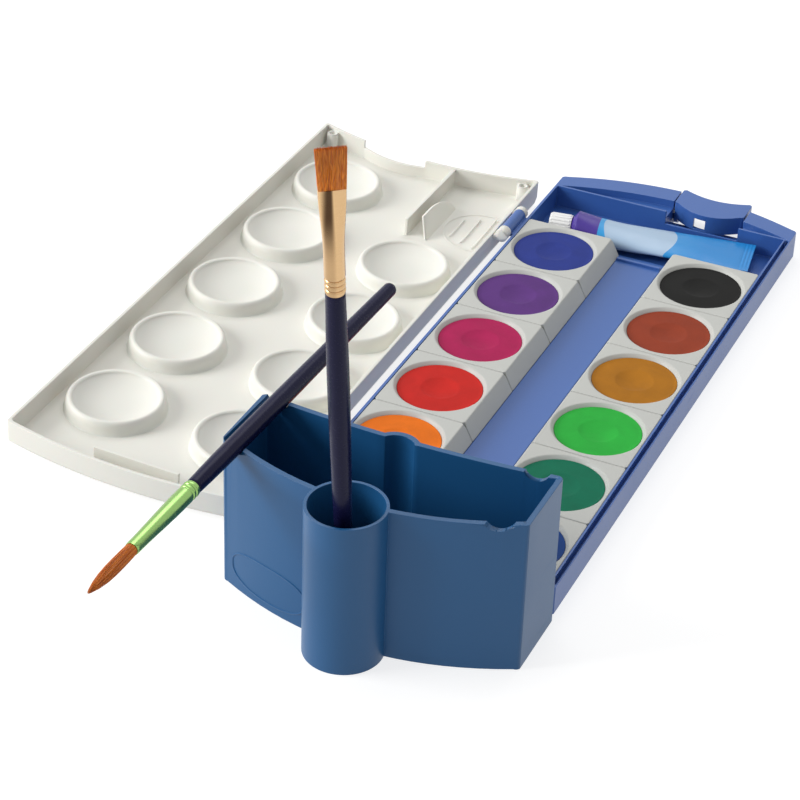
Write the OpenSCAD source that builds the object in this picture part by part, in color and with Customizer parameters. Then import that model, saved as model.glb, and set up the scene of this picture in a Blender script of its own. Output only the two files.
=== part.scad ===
// Gouache paint set: a shallow tray with twelve lift-out paint pans and a paint tube, a hinged
// lid with nine mixing wells, a water cup that stands at the tray's near end, and two brushes.
// Millimetres, +Z up. The origin is the middle of the tray's underside, +X points to the
// long side away from the hinge and +Y to the end with the latch.

/* [Tray] */
// Height of the tray's rim above the table
tray_h = 10.5; // [9:0.1:14]
// Thickness of the tray's outer walls
tray_wall = 1.2; // [1:0.1:1.6]
// Thickness of the floor that the pans stand on
deck_t = 1.5; // [1.2:0.1:2]
// Height of the hollow under that floor
deck_rise = 2; // [1:0.1:2.5]
// Outer corner radius of the tray
tray_corner = 2; // [1:0.1:3]
// How far the near end bows out at its middle
tray_near_bow = 2.6; // [1:0.1:4]
// How far the far end bows out at its middle
tray_far_bow = 9.6; // [6:0.1:11]
// Width of the flat band along the far end
band_w = 8; // [6:0.1:10]
// Thickness of the straight wall between the tube bay and the band's groove
bay_wall = 0.9; // [0.8:0.1:1.2]
// Length of the tube bay, from the pans to its far wall
bay_l = 29.7; // [27:0.1:34]
// Thickness of the bay's floor, which lies on the table
bay_floor = 1.6; // [1.2:0.1:2]
// Height of the strip between the pan rows above the floor of the pans
strip_h = 0.5; // [0.3:0.1:1]
// Width of the groove along the right-hand rim
groove_w = 1.7; // [1.2:0.1:2.4]
// Depth of the grooves in the rim
groove_d = 3; // [1.5:0.1:4]
// Thickness of the thin rib and of the outer lip beside the groove
lip_t = 0.6; // [0.5:0.1:1]
// Width of the flat pad in the middle of the underside
pad_w = 24; // [16:1:40]
// Length of that pad
pad_l = 60; // [40:1:90]

/* [Pans] */
// Number of pans in each of the two rows
pan_rows = 6; // [6:1:6]
// Width of a pan across the tray, at its top
pan_w = 33.8; // [33:0.1:36]
// Length of a pan along the tray
pan_l = 35.3; // [34:0.1:37]
// Gap between neighbouring pans
pan_gap = 0.3; // [0.25:0.05:0.5]
// Clear width between the two rows at the pans' tops
channel_w = 24.9; // [20:0.1:30]
// How much wider a pan's foot is, on the side of the channel
pan_flare = 3.5; // [2:0.1:4.5]
// Size of the small notches at a pan's corners
pan_notch = 0.9; // [0.4:0.1:1.2]
// Radius of a paint cake
cake_r = 15; // [14:0.1:15.4]
// Thickness of a paint cake at its edge
cake_t = 3.6; // [2:0.1:4]
// Depth of the paint's edge below the pan's top
cake_sink = 1.25; // [0.8:0.05:1.6]
// Height of the paint's domed top above its edge
cake_dome = 0.35; // [0.1:0.05:0.6]
// Depth of the dimple in the middle of the paint
cake_dimple = 0.45; // [0.2:0.05:0.7]
// Radius of the dimple
dimple_r = 6; // [4:0.1:8]
// Width of the bevel round the mouth of a pan
pan_bevel = 1.2; // [0.6:0.1:1.4]

/* [Lid] */
// Width of the lid, from its hinge side to its free side
lid_w = 93.5; // [90:0.5:94]
// Length of the lid between its corners
lid_l = 246; // [238:0.5:248]
// How far the lid's far corners stay back from the tray's far corners
lid_back = 9; // [7:0.1:12]
// Depth of the lid
lid_h = 9; // [8:0.1:12]
// Thickness of the lid's walls
lid_wall = 1.3; // [1:0.1:1.8]
// Thickness of the lid's floor
lid_floor = 1.4; // [1.1:0.1:2]
// How far the lid's far end curves in at its middle
lid_far_dip = 8.1; // [5:0.1:10]
// How far the lid's near end bows out at its middle
lid_near_bow = 5; // [3:0.1:6]
// Angle by which the open lid rises towards its free side
lid_rise = 2.1; // [0:0.1:5]
// Gap between the rims of the closed box
rim_gap = 0.3; // [0.2:0.05:0.5]
// Depth of the cut in the far wall beside the latch
cut_d = 3; // [2:0.1:4]
// Length of that cut
cut_l = 28; // [22:0.5:32]
// Distance of its middle from the lid's hinge side
cut_u = 59.5; // [55:0.5:64]
// How far the wall bulges in at that cut
cut_bulge = 2.4; // [1:0.1:3.5]
// Radius of the two corner posts
post_r = 2.4; // [2:0.1:3]
// Radius of the hole in each post
post_hole_r = 1; // [0.6:0.1:1.2]
// How far the posts' tops lie below the lid's rim
post_low = 1.4; // [0.4:0.1:2]

/* [Mixing wells] */
// Radius of a well's mouth
well_r = 14.8; // [13:0.1:15]
// Width of the rounded lip round the mouth
well_lip = 2.3; // [1.5:0.1:2.6]
// How much wider a well's foot is than its lip
well_foot = 2.6; // [1:0.1:2.7]
// Depth of the lip below the lid's rim
well_drop = 2.4; // [1.5:0.1:3]
// Thickness of the plastic under a well
well_t = 0.7; // [0.5:0.1:1.2]
// Distance between wells along the lid
well_pitch = 43.7; // [43:0.1:44]
// Distance of the row nearer the hinge from the lid's hinge side
well_u1 = 22.3; // [22:0.1:24]
// Distance of the outer row from the lid's free side
well_side = 22.5; // [22:0.1:24]
// Distance of the first well from the lid's far corners
well_back = 36.4; // [35:0.1:38]

/* [Lid clip] */
// Distance of the thumb rest's middle from the lid's far corners
thumb_back = 38.5; // [36:0.5:42]
// Thickness of the partition, the clip tongue and the end ridge
clip_t = 1.3; // [1:0.1:1.6]
// Distance of the partition from the lid's hinge side
part_u = 33.4; // [32.5:0.1:36]
// Length of the partition
part_l = 46; // [40:0.5:48]
// Height of the partition's top below the lid's rim
part_low = 0.5; // [0.4:0.1:1.5]
// Distance of the tongue's foot from the lid's hinge side
tongue_u = 25.2; // [22:0.1:26]
// Length of the tongue's foot
tongue_l = 28; // [20:0.5:30]
// How far the tongue leans towards the partition, at its top
tongue_lean = 3.8; // [2:0.1:4.2]
// Distance of the tongue's far foot from the lid's far corners
tongue_back = 25.9; // [25:0.1:30]
// Height of the ribs of the thumb rest
rib_h = 0.6; // [0.3:0.1:1]
// Width of those ribs
rib_w = 0.8; // [0.5:0.1:1.2]
// Length of the ridge at the near end
ridge_l = 32; // [20:1:40]
// Distance of the ridge's middle from the lid's hinge side
ridge_u = 46; // [40:0.5:52]
// Height of that ridge
ridge_h = 5.6; // [3:0.1:7]

/* [Hinges] */
// Distance of the hinge axis from the tray's side
hinge_out = 3.1; // [3:0.1:4]
// Distance of the hinge axis from the lid's edge
lid_out = 3.4; // [3.4:0.1:4.4]
// Outer radius of a hinge barrel
barrel_r = 2.3; // [2.2:0.1:2.7]
// Outer radius of the lid's lugs
lug_r = 2.5; // [2.4:0.1:2.8]
// Radius of the studs on the lugs
stud_r = 1.2; // [1:0.05:1.4]
// Running clearance round the studs
stud_gap = 0.06; // [0.03:0.01:0.1]
// Length of a stud
stud_l = 4; // [2:0.5:5]
// Length of a hinge barrel
barrel_l = 14.4; // [12:0.1:18]
// Distance of each barrel's middle from the tray's middle
barrel_y = 81.3; // [60:0.1:90]
// Length of the lug on the inner side of a barrel
lug_in = 4.2; // [3:0.1:9]
// Length of the lug on its outer side
lug_out = 2; // [1.5:0.1:6]
// End play between barrel and lugs
lug_gap = 0.3; // [0.25:0.05:0.5]

/* [Latch] */
// Width of the latch
latch_w = 28.4; // [24:0.1:32]
// Distance of the latch's middle from the tray's middle
latch_x = 12.7; // [8:0.1:16]
// Depth of the latch at its ends
latch_d = 11.6; // [9:0.1:13]
// How far its front bulges towards the tube bay
latch_bulge = 5.4; // [3:0.1:6]
// How far its outer edge curves in
latch_hollow = 3.1; // [2:0.1:4]
// Thickness of its walls
latch_t = 1.5; // [1.2:0.1:2]
// Height of its top above the rim
latch_up = 0.3; // [0:0.1:1]
// Gap between the latch and the slot it sits in
latch_gap = 0.5; // [0.3:0.05:0.8]
// How far its ends stand out past the tray's far corners
latch_out = 11; // [9:0.1:12]
// Distance of its pivot in from its outer ends
pivot_in = 8.4; // [7:0.1:10]
// Height of its pivot above the table
pivot_z = 3; // [2.5:0.1:4]
// Width and height of the window in its front
window_w = 4.9; // [3:0.1:6]

/* [Paint tube] */
// Radius of the tube at its shoulder
tube_r = 6; // [5:0.1:6.1]
// Length of the tube from shoulder to crimp
tube_l = 64; // [55:0.5:65]
// Width of the flat crimped end
crimp_w = 21; // [16:0.5:22]
// Thickness of the crimped end
crimp_t = 1.2; // [1:0.1:1.6]
// Length of the folded crimp
crimp_l = 4; // [3:0.5:6]
// Height of the shoulder cone
shoulder_l = 2.2; // [1.5:0.1:3]
// Radius of the cap
cap_r = 4; // [3.6:0.1:4.4]
// Length of the cap
cap_l = 8.6; // [7:0.1:10]
// Radius of the neck inside the cap
neck_r = 2.4; // [2:0.1:2.8]
// Angle of the tube across its bay
tube_turn = 8.8; // [4:0.1:9]
// Distance of the shoulder from the tray's left-hand side
tube_x = 18.6; // [17:0.1:22]
// Clearance between the tube and the pans
tube_gap = 1.5; // [0.8:0.1:1.8]

/* [Water cup] */
// Height of the cup
cup_h = 54; // [45:0.5:65]
// Width of the cup at its rim
cup_w = 101.4; // [96:0.1:104]
// Distance of the cup's middle from the tray's middle
cup_x = -1.4; // [-3:0.05:0]
// Depth of the cup at its sides
cup_d = 28.4; // [25:0.1:34]
// How far the front bows out
cup_front_bow = 12.6; // [8:0.1:14]
// How far the back curves in, to follow the tray's end
cup_back_bow = 2.9; // [2:0.1:4]
// Gap between the cup and the tray's near corners
cup_gap = 1.3; // [0.8:0.1:3]
// Thickness of the cup's walls
cup_wall = 1.9; // [1.5:0.1:2.4]
// Thickness of the cup's floor
cup_floor = 1.9; // [1.5:0.1:2.4]
// How much narrower the cup is at the bottom of its left side
cup_draft = 3.3; // [0:0.1:4]
// Sideways place of the brush holder and of the key on the back
holder_x = -3; // [-6:0.1:0]
// Inner radius of the brush holder
holder_r = 11.75; // [9:0.05:12]
// Thickness of the brush holder's wall
holder_t = 1.1; // [1:0.05:1.5]
// Distance of the holder's middle in front of the cup's front wall
holder_out = 1.5; // [0:0.1:2]
// Width of the key on the cup's back
key_w = 12; // [8:0.5:14]
// How far the key stands out
key_d = 2.7; // [2:0.1:3]
// Radius of the brush rests in the rim
rest_r = 4.5; // [4:0.1:5]
// Half the width of the free rests on the right
rest2_r = 3.9; // [3:0.1:5]
// Depth of the free rests
rest2_d = 2.5; // [2:0.1:3]
// Distance of the free rests from the cup's right-hand side
rest2_in = 8.3; // [6:0.1:12]

/* [Round brush] */
// Length of the handle that shows
rhandle_l = 133; // [110:1:160]
// Radius of the handle at its end, at its belly and at the ferrule
rhandle_end_r = 2.6; // [2:0.1:3]
// Radius of the handle at its belly
rhandle_r = 3.75; // [3:0.05:3.9]
// Length of the ferrule
rferrule_l = 34.5; // [25:0.5:45]
// Radius of the ferrule at the handle
rferrule_r = 3.55; // [3.2:0.05:3.8]
// Radius of the ferrule at the bristles
rtip_r = 2.9; // [2.4:0.05:3.2]
// Length of the bristles
rbristle_l = 24; // [18:0.5:30]
// Distance of the handle's end behind the tray's near end
rbrush_y = 75.6; // [60:0.1:90]
// Distance of the brush from the cup's left-hand side
rbrush_in = 8.1; // [7:0.1:12]
// Angle of the brush across the cup
rbrush_turn = 1.7; // [0:0.1:3]
// Height of the brush's axis above the rim
rbrush_up = 1.5; // [1:0.1:3]

/* [Flat brush] */
// Length of the handle
fhandle_l = 140.1; // [110:0.1:160]
// Radius of the handle at its end
fhandle_end_r = 2.2; // [1.8:0.1:2.8]
// Radius of the handle at its belly
fhandle_r = 3.2; // [2.8:0.1:4]
// Length of the ferrule
fferrule_l = 35.9; // [28:0.1:45]
// Radius of the ferrule at the handle
fferrule_r = 2.95; // [2.6:0.05:3.3]
// Width of the flat end of the ferrule
flat_w = 7.7; // [6:0.1:10]
// Thickness of the flat end of the ferrule
flat_t = 3; // [2.4:0.1:3.6]
// Length of the bristles
fbristle_l = 13.2; // [10:0.1:20]
// Lean of the brush in its holder
flean = 11.2; // [0:0.1:12]
// Direction in which it leans, from +X
flean_dir = -76.6; // [-120:0.1:-40]
// Distance of its end from the holder's middle
fend_off = 5.1; // [0:0.1:6]
// Direction in which the flat end's width lies, from +X
fflat_dir = 33; // [0:0.1:45]

/* [Bristles] */
// Rows of strands across the flat brush
flat_rows = 8; // [6:1:10]
// Strands in each row
flat_cols = 25; // [20:1:28]
// Strands in the round brush
round_strands = 190; // [150:1:220]
// Share of its place that a strand fills
strand_fill = 0.62; // [0.4:0.01:0.7]
// Thickness of the bound slice that holds the strands
bind_t = 1; // [0.6:0.1:1.5]

/* [Clearances] */
// Gap between separate pieces that rest or slide on each other
fit_gap = 0.2; // [0.15:0.05:0.3]

/* [Hidden] */
pan_sides = ["left", "right"];
$fn = 64;
eps = 0.01;
edge_steps = 20;
corner_steps = 4;

// Places worked out from the sizes above
pitch = pan_l + pan_gap;
rows_l = pan_rows * pitch - pan_gap;
right_margin = fit_gap + lip_t + groove_w + lip_t;
tray_w = tray_wall + fit_gap + pan_w + channel_w + pan_w + right_margin;
tray_l = tray_wall + fit_gap + rows_l + bay_l + bay_wall + band_w;
left_x = -tray_w / 2;
right_x = tray_w / 2;
near_y = -tray_l / 2;
far_y = tray_l / 2;
row_x = [left_x + tray_wall + fit_gap, right_x - right_margin - pan_w];
pans_near_y = near_y + tray_wall + fit_gap;
pans_far_y = pans_near_y + rows_l;
bay_far_y = pans_far_y + bay_l;
deck_z = deck_rise + deck_t;
pan_h = tray_h - deck_z - fit_gap;
strip_z = deck_z + strip_h;
strip_x0 = row_x[0] + pan_w + pan_flare + fit_gap;
strip_x1 = row_x[1] - pan_flare - fit_gap;

hinge_x = left_x - hinge_out;
hinge_z = tray_h + rim_gap;
lid_far_y = far_y - lid_back;
lid_near_y = lid_far_y - lid_l;
lid_depth = lid_h - lid_floor;
well_u2 = lid_w - well_side;

slot_x0 = latch_x - latch_w / 2 - latch_gap;
slot_x1 = latch_x + latch_w / 2 + latch_gap;
latch_far_y = far_y + latch_out;
pivot_y = latch_far_y - pivot_in;
latch_top = tray_h + latch_up;

cup_back_y = near_y - cup_gap;
cup_front_y = cup_back_y - cup_d;
cup_x0 = cup_x - cup_w / 2;
cup_x1 = cup_x + cup_w / 2;
holder_y = cup_front_y - cup_front_bow - holder_out;
rest2_arc = (rest2_r * rest2_r + rest2_d * rest2_d) / (2 * rest2_d);
key_r = (key_w * key_w / 4 + key_d * key_d) / (2 * key_d);
key_y = cup_back_y - cup_back_bow + key_d - key_r;

// The outline of a four-sided tray whose two ends are bowed by bn and bf
function ends_pts(x0, x1, yn, yf, bn, bf, r) = concat(
    [for (i = [0:edge_steps]) let (s = 2 * i / edge_steps - 1)
        [(x0 + x1) / 2 + s * ((x1 - x0) / 2 - r), yn - bn * (1 - s * s)]],
    corner_pts(x1 - r, yn + r, r, -90), corner_pts(x1 - r, yf - r, r, 0),
    [for (i = [0:edge_steps]) let (s = 1 - 2 * i / edge_steps)
        [(x0 + x1) / 2 + s * ((x1 - x0) / 2 - r), yf + bf * (1 - s * s)]],
    corner_pts(x0 + r, yf - r, r, 90), corner_pts(x0 + r, yn + r, r, 180));

// The inner points of a quarter round
function corner_pts(x, y, r, start) =
    [for (i = [1:corner_steps - 1]) let (a = start + 90 * i / corner_steps) [x + r * cos(a), y + r * sin(a)]];

// A round bar along Y from y0 to y1
module bar_y(x, z, r, y0, y1) {
    translate([x, y1, z]) rotate([90, 0, 0]) cylinder(r = r, h = y1 - y0);
}

// A round bar along X from x0 to x1
module bar_x(y, z, r, x0, x1) {
    translate([x0, y, z]) rotate([0, 90, 0]) cylinder(r = r, h = x1 - x0);
}

// A block between two corners
module block(a, b) {
    translate(a) cube(b - a);
}

// Tray: walls, floor and the solid band at the far end
module base_tray() {
    color("royalblue") difference() {
        union() {
            tray_shell();
            block([strip_x0, pans_near_y, deck_rise], [strip_x1, pans_far_y - band_w / 2, strip_z]);
            block([strip_x0, pans_far_y - band_w / 2, deck_rise], [strip_x1, pans_far_y - band_w / 3, strip_z + 1]);
            block([-pad_w / 2, -pad_l / 2, 0], [pad_w / 2, pad_l / 2, deck_z]);
            key_boss();
            for (side = [-1, 1]) barrel(side * barrel_y);
        }
        translate([holder_x, key_y, -eps]) cylinder(r = key_r + fit_gap * 3, h = tray_h + 1);
        for (side = [-1, 1])
            bar_y(hinge_x, hinge_z, stud_r + stud_gap, side * barrel_y - barrel_l, side * barrel_y + barrel_l);
        latch_slot();
    }
}

module tray_shell() {
    difference() {
        linear_extrude(tray_h)
            polygon(ends_pts(left_x, right_x, near_y, far_y, tray_near_bow, tray_far_bow, tray_corner));
        translate([0, 0, deck_z]) linear_extrude(tray_h)
            polygon(ends_pts(left_x + tray_wall, right_x - groove_w - 2 * lip_t,
                near_y + tray_wall, bay_far_y, tray_near_bow, 0, tray_corner / 4));
        block([left_x + tray_wall, pans_far_y + tray_wall, bay_floor],
            [right_x - groove_w - 2 * lip_t, bay_far_y, tray_h]);
        translate([0, 0, tray_h - groove_d]) linear_extrude(tray_h) {
            polygon(ends_pts(right_x - groove_w - lip_t, right_x - lip_t,
                near_y + 2 * tray_wall, bay_far_y, 0, 0, groove_w / 4));
            polygon(ends_pts(left_x + 2 * tray_wall, right_x - 2 * tray_wall,
                bay_far_y + bay_wall, bay_far_y + bay_wall + eps, 0, tray_far_bow - band_w / 8, eps / 4));
        }
        translate([0, 0, -eps]) linear_extrude(deck_rise + eps)
            polygon(ends_pts(left_x + tray_wall, right_x - tray_wall, near_y + tray_wall, pans_far_y - tray_wall,
                tray_near_bow, 0, tray_corner / 2));
    }
}

// Thickened wall behind the recess that takes the cup's key
module key_boss() {
    intersection() {
        translate([holder_x, key_y, 0]) cylinder(r = key_r + fit_gap * 3 + tray_wall, h = tray_h);
        block([holder_x - key_w, near_y - tray_near_bow, 0], [holder_x + key_w, pans_near_y + key_d, tray_h]);
        linear_extrude(tray_h)
            polygon(ends_pts(left_x, right_x, near_y, far_y, tray_near_bow, tray_far_bow, tray_corner));
    }
}

// One hinge barrel with its web to the tray's wall
module barrel(y) {
    bar_y(hinge_x, hinge_z, barrel_r, y - barrel_l / 2, y + barrel_l / 2);
    block([hinge_x, y - barrel_l / 2, hinge_z - barrel_r * 0.8],
        [left_x + tray_wall / 2, y + barrel_l / 2, tray_h - stud_r / 4]);
}

// Slot for the latch, open below at its outer half, with the two pivot holes
module latch_slot() {
    block([slot_x0, bay_far_y + bay_wall, bay_floor], [slot_x1, far_y + 2 * tray_far_bow, tray_h + 1]);
    block([slot_x0, pivot_y - 2 * stud_r - latch_gap, -eps], [slot_x1, far_y + 2 * tray_far_bow, tray_h + 1]);
    block([slot_x0, bay_far_y - eps, strip_z + 1], [slot_x1, far_y, tray_h + 1]);
    bar_x(pivot_y, pivot_z, stud_r + stud_gap, slot_x0 - latch_t - fit_gap, slot_x1 + latch_t + fit_gap);
}

// Latch: a thin shell, open below, that swings out on two studs
module latch() {
    x0 = latch_x - latch_w / 2;
    x1 = latch_x + latch_w / 2;
    yn = latch_far_y - latch_d;
    foot_z = deck_z;
    color("royalblue") {
        difference() {
            translate([0, 0, foot_z]) linear_extrude(latch_top - foot_z)
                polygon(ends_pts(x0, x1, yn, latch_far_y, latch_bulge, -latch_hollow, latch_t));
            translate([0, 0, foot_z - eps]) linear_extrude(latch_top - foot_z - latch_t)
                polygon(ends_pts(x0 + latch_t, x1 - latch_t, yn + latch_t, latch_far_y - latch_t,
                    latch_bulge, -latch_hollow, latch_t / 3));
            block([latch_x - window_w + 0.5, yn - 2 * latch_bulge, foot_z + latch_t / 2],
                [latch_x + 0.5, yn, foot_z + latch_t / 2 + window_w - 0.5]);
        }
        for (side = [-1, 1]) mirror([side > 0 ? 1 : 0, 0, 0]) latch_ear(-side * latch_x);
    }
}

// An ear with its stud, on the left of a latch centred at x
module latch_ear(x) {
    x0 = x - latch_w / 2;
    difference() {
        union() {
            bar_x(pivot_y, pivot_z, 2 * stud_r, x0, x0 + latch_t);
            block([x0, pivot_y - 2 * stud_r, pivot_z], [x0 + latch_t, pivot_y + 2 * stud_r, deck_z + latch_t]);
        }
    }
    bar_x(pivot_y, pivot_z, stud_r, x0 - latch_gap - latch_t, x0 + latch_t / 2);
}

// Everything on the lid is drawn with its rim plane at z = 0 and its hinge axis on the Y axis
module open_lid() {
    translate([hinge_x, 0, hinge_z]) rotate([0, lid_rise, 0]) children();
}

function lid_x(u) = -lid_out - u;

// How far the lid's far edge lies back from its corners, t from 0 at the hinge side to lid_w
function lid_far(t) =
    let (s = 2 * t / lid_w - 1, c = (t - cut_u) / (cut_l / 2))
    -lid_far_dip * (1 - s * s) - cut_bulge * max(0, 1 - c * c);

// The lid's outline, drawn in by w
function lid_pts(w) = concat(
    [for (i = [0:edge_steps]) let (s = 2 * i / edge_steps - 1)
        [lid_x(lid_w / 2 - s * (lid_w / 2 - w - 1)), lid_near_y + w - lid_near_bow * (1 - s * s)]],
    [[lid_x(w), lid_near_y + w + 1], [lid_x(w), lid_far_y - w - 1]],
    [for (i = [0:2 * edge_steps]) let (t = w + 1 + (lid_w - 2 * w - 2) * i / (2 * edge_steps))
        [lid_x(t), lid_far_y - w + lid_far(t)]],
    [[lid_x(lid_w - w), lid_far_y - w - 1], [lid_x(lid_w - w), lid_near_y + w + 1]]);

// Lid: a shallow tray with lugs, corner posts, partition, clip tongue, thumb rest and ridge
module lid_tray() {
    color("whitesmoke") open_lid() {
        difference() {
            union() {
                translate([0, 0, -lid_h]) linear_extrude(lid_h) polygon(lid_pts(0));
                for (side = [-1, 1]) for (end = [-1, 1]) lug(side * barrel_y, end);
            }
            translate([0, 0, -lid_depth]) linear_extrude(lid_h) polygon(lid_pts(lid_wall));
            block([lid_x(cut_u + cut_l / 2), lid_far_y - 2 * lid_far_dip, -cut_d],
                [lid_x(cut_u - cut_l / 2), lid_far_y, 1]);
        }
        for (u = [post_r + 2 * lid_wall, lid_w - post_r - 2 * lid_wall]) post(u);
        partition();
        tongue();
        thumb_rest();
        block([lid_x(ridge_u + ridge_l / 2), lid_near_y + 3 * lid_wall, -lid_depth - eps],
            [lid_x(ridge_u - ridge_l / 2), lid_near_y + 3 * lid_wall + clip_t, ridge_h - lid_depth]);
    }
}

// One lug and its stud, on the far side of a barrel for end = 1 and the near side for end = -1
module lug(y, end) {
    inner = end * sign(y) < 0;
    len = inner ? lug_in : lug_out;
    from = y + end * (barrel_l / 2 + lug_gap);
    to = from + end * len;
    bar_y(0, 0, lug_r, min(from, to), max(from, to));
    root = from + end * stud_r;
    tip = from - end * stud_l;
    block([lid_x(lid_wall / 2), min(from, to), -lug_r * 0.8], [0, max(from, to), -stud_r / 4]);
    bar_y(0, 0, stud_r, min(root, tip), max(root, tip));
}

// A hollow post in a far corner of the lid
module post(u) {
    y = lid_far_y + lid_far(u) - lid_wall - post_r + 0.4;
    translate([lid_x(u), y, -lid_depth - eps]) difference() {
        cylinder(r = post_r, h = lid_depth - post_low);
        translate([0, 0, 1]) cylinder(r = post_hole_r, h = lid_depth);
    }
}

// Upright wall that ends at the far wall, just below the rim, so that it clears the paint tube
module partition() {
    y1 = lid_far_y + lid_far(part_u) - lid_wall / 2;
    block([lid_x(part_u + clip_t / 2), y1 - part_l, -lid_depth - eps],
        [lid_x(part_u - clip_t / 2), y1, -part_low]);
}

// Leaning tongue with a rounded far side
module tongue() {
    lean = atan(tongue_lean / lid_depth);
    y1 = lid_far_y - tongue_back;
    y0 = y1 - tongue_l;
    rise = (lid_depth - 0.4) / cos(lean);
    round_l = tongue_l * 0.6;
    sunk = lid_floor * 0.4;
    profile = concat([[y0, -sunk], [y0 + tongue_l * 0.18, rise]],
        [for (i = [0:10]) let (a = 90 - 9 * i) [y1 - round_l + round_l * cos(a), rise * sin(a)]],
        [[y1, -sunk]]);
    translate([lid_x(tongue_u), 0, -lid_depth]) rotate([0, -lean, 0]) rotate([90, 0, 90])
        translate([0, 0, -clip_t / 2]) linear_extrude(clip_t) polygon(profile);
}

// Low oval outline, open towards the hinge, with three ribs
module thumb_rest() {
    yc = lid_far_y - thumb_back;
    r1 = 14.5;
    intersection() {
        translate([lid_x(9), yc, -lid_depth - eps]) difference() {
            cylinder(r = r1, h = rib_h / 2);
            translate([0, 0, -1]) cylinder(r = r1 - rib_w, h = 3);
        }
        block([lid_x(24), yc - r1, -lid_h], [lid_x(2.2), yc + r1, 0]);
    }
    for (i = [0:2]) block([lid_x(18 - 5.5 * i + rib_w / 2), yc - 8 - 2 * i, -lid_depth - eps],
        [lid_x(18 - 5.5 * i - rib_w / 2), yc + 6 + 3 * i, rib_h - lid_depth]);
}

// Mixing well: a soft raised ring with a deep round bowl, k-th along the lid at distance u from the hinge side
module well(u, k) {
    top = -well_drop;
    low = -lid_depth;
    edge_r = well_lip * 0.3;
    crest = well_r + edge_r;
    foot = well_r + well_lip + well_foot;
    foot_t = well_t / 4;
    bowl = low + well_t;
    profile = concat(
        [[0, low], [foot, low]],
        [for (i = [0:10]) let (s = 1 - i / 10)
            [crest + (foot - crest) * s, low + foot_t + (top - low - foot_t) * (1 + cos(180 * s)) / 2]],
        [for (i = [1:4]) [crest - edge_r * sin(22.5 * i), top - edge_r * (1 - cos(22.5 * i))]],
        [for (i = [1:10]) let (r = well_r * (1 - i / 10)) [r, bowl + (top - edge_r - bowl) * pow(r / well_r, 3.4)]]);
    color("whitesmoke") open_lid()
        translate([lid_x(u), lid_far_y - well_back - k * well_pitch, 0]) rotate_extrude() polygon(profile);
}

// Pan k, counted from the far end, in the row on the given side (0 left, 1 right)
module pan(side, k) {
    y = pans_far_y - k * pitch - pan_l;
    cake_x = pan_w / 2;
    top = pan_h;
    color("lightgray") translate([row_x[side], y, deck_z + fit_gap]) difference() {
        translate([side * pan_w, pan_l, 0]) mirror([side, 0, 0]) rotate([90, 0, 0]) linear_extrude(pan_l)
            polygon([[0, 0], [pan_w + pan_flare, 0], [pan_w, top], [0, top]]);
        translate([cake_x, pan_l / 2, top - cake_sink - cake_t]) cylinder(r = cake_r + 0.05, h = top);
        translate([cake_x, pan_l / 2, top - cake_sink])
            cylinder(r1 = cake_r + 0.05, r2 = cake_r + pan_bevel, h = cake_sink + eps);
        for (i = [0, 1]) for (j = [0, 1])
            translate([i * pan_w, j * pan_l, -1]) rotate([0, 0, 45])
                translate([-pan_notch / 2, -pan_notch / 2, 0]) cube([pan_notch, pan_notch, top + 2]);
    }
}

// Cake of paint in pan k of the given row
module paint(side, k, tint) {
    x = row_x[side] + pan_w / 2;
    y = pans_far_y - k * pitch - pan_l / 2;
    z = deck_z + fit_gap + pan_h - cake_sink - cake_t;
    dome = [for (i = [0:8]) let (r = cake_r * (1 - i / 8))
        [r, cake_t + cake_dome * (1 - pow(r / cake_r, 2)) - (r < dimple_r ? cake_dimple * (1 - pow(r / dimple_r, 2)) : 0)]];
    color(tint) translate([x, y, z]) rotate_extrude() polygon(concat([[0, 0], [cake_r, 0]], dome));
}

shoulder_x = left_x + tube_x;
shoulder_y = pans_far_y + tube_gap + tube_r;
tube_z = bay_floor + fit_gap + tube_r;

// The paint tube is drawn along +X from its shoulder
module tube_place() {
    translate([shoulder_x, shoulder_y, tube_z]) rotate([0, 0, tube_turn]) children();
}

tube_sides = 24;
tube_rings = 8;

// Half width and half height of the tube at a share t of its length
function tube_half_w(t) = tube_r + (crimp_w / 2 - tube_r) * sin(90 * t);
function tube_half_h(t) = tube_r + (crimp_t / 2 - tube_r) * pow(t, 0.84);
function tube_sink(t) = -tube_r * 0.27 * sin(90 * min(1, t * 3));

// Points of the tube's skin, ring by ring
tube_pts = [for (j = [0:tube_rings]) for (i = [0:tube_sides - 1])
    let (t = j / tube_rings, a = 360 * i / tube_sides)
    [tube_l * t, tube_half_w(t) * cos(a), tube_sink(t) + tube_half_h(t) * sin(a)]];

// Triangles between the rings, and the two end faces
function skin_faces(rings, sides) = concat(
    [for (j = [0:rings - 1]) for (i = [0:sides - 1]) let (n = (i + 1) % sides)
        [j * sides + i, (j + 1) * sides + n, j * sides + n]],
    [for (j = [0:rings - 1]) for (i = [0:sides - 1]) let (n = (i + 1) % sides)
        [j * sides + i, (j + 1) * sides + i, (j + 1) * sides + n]],
    [[for (i = [0:sides - 1]) i]],
    [[for (i = [0:sides - 1]) rings * sides + sides - 1 - i]]);

module tube_body() {
    color("deepskyblue") tube_place() {
        polyhedron(tube_pts, skin_faces(tube_rings, tube_sides));
        block([tube_l - 0.5, -crimp_w / 2, tube_sink(1) - crimp_t / 2], [tube_l + crimp_l, crimp_w / 2, tube_sink(1) + crimp_t / 2]);
        translate([-shoulder_l, 0, 0]) rotate([0, 90, 0]) cylinder(r1 = neck_r + 0.8, r2 = tube_r - 0.2, h = shoulder_l + 0.2);
        translate([-shoulder_l - cap_l + 2, 0, 0]) rotate([0, 90, 0]) cylinder(r = neck_r, h = cap_l);
    }
}

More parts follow.
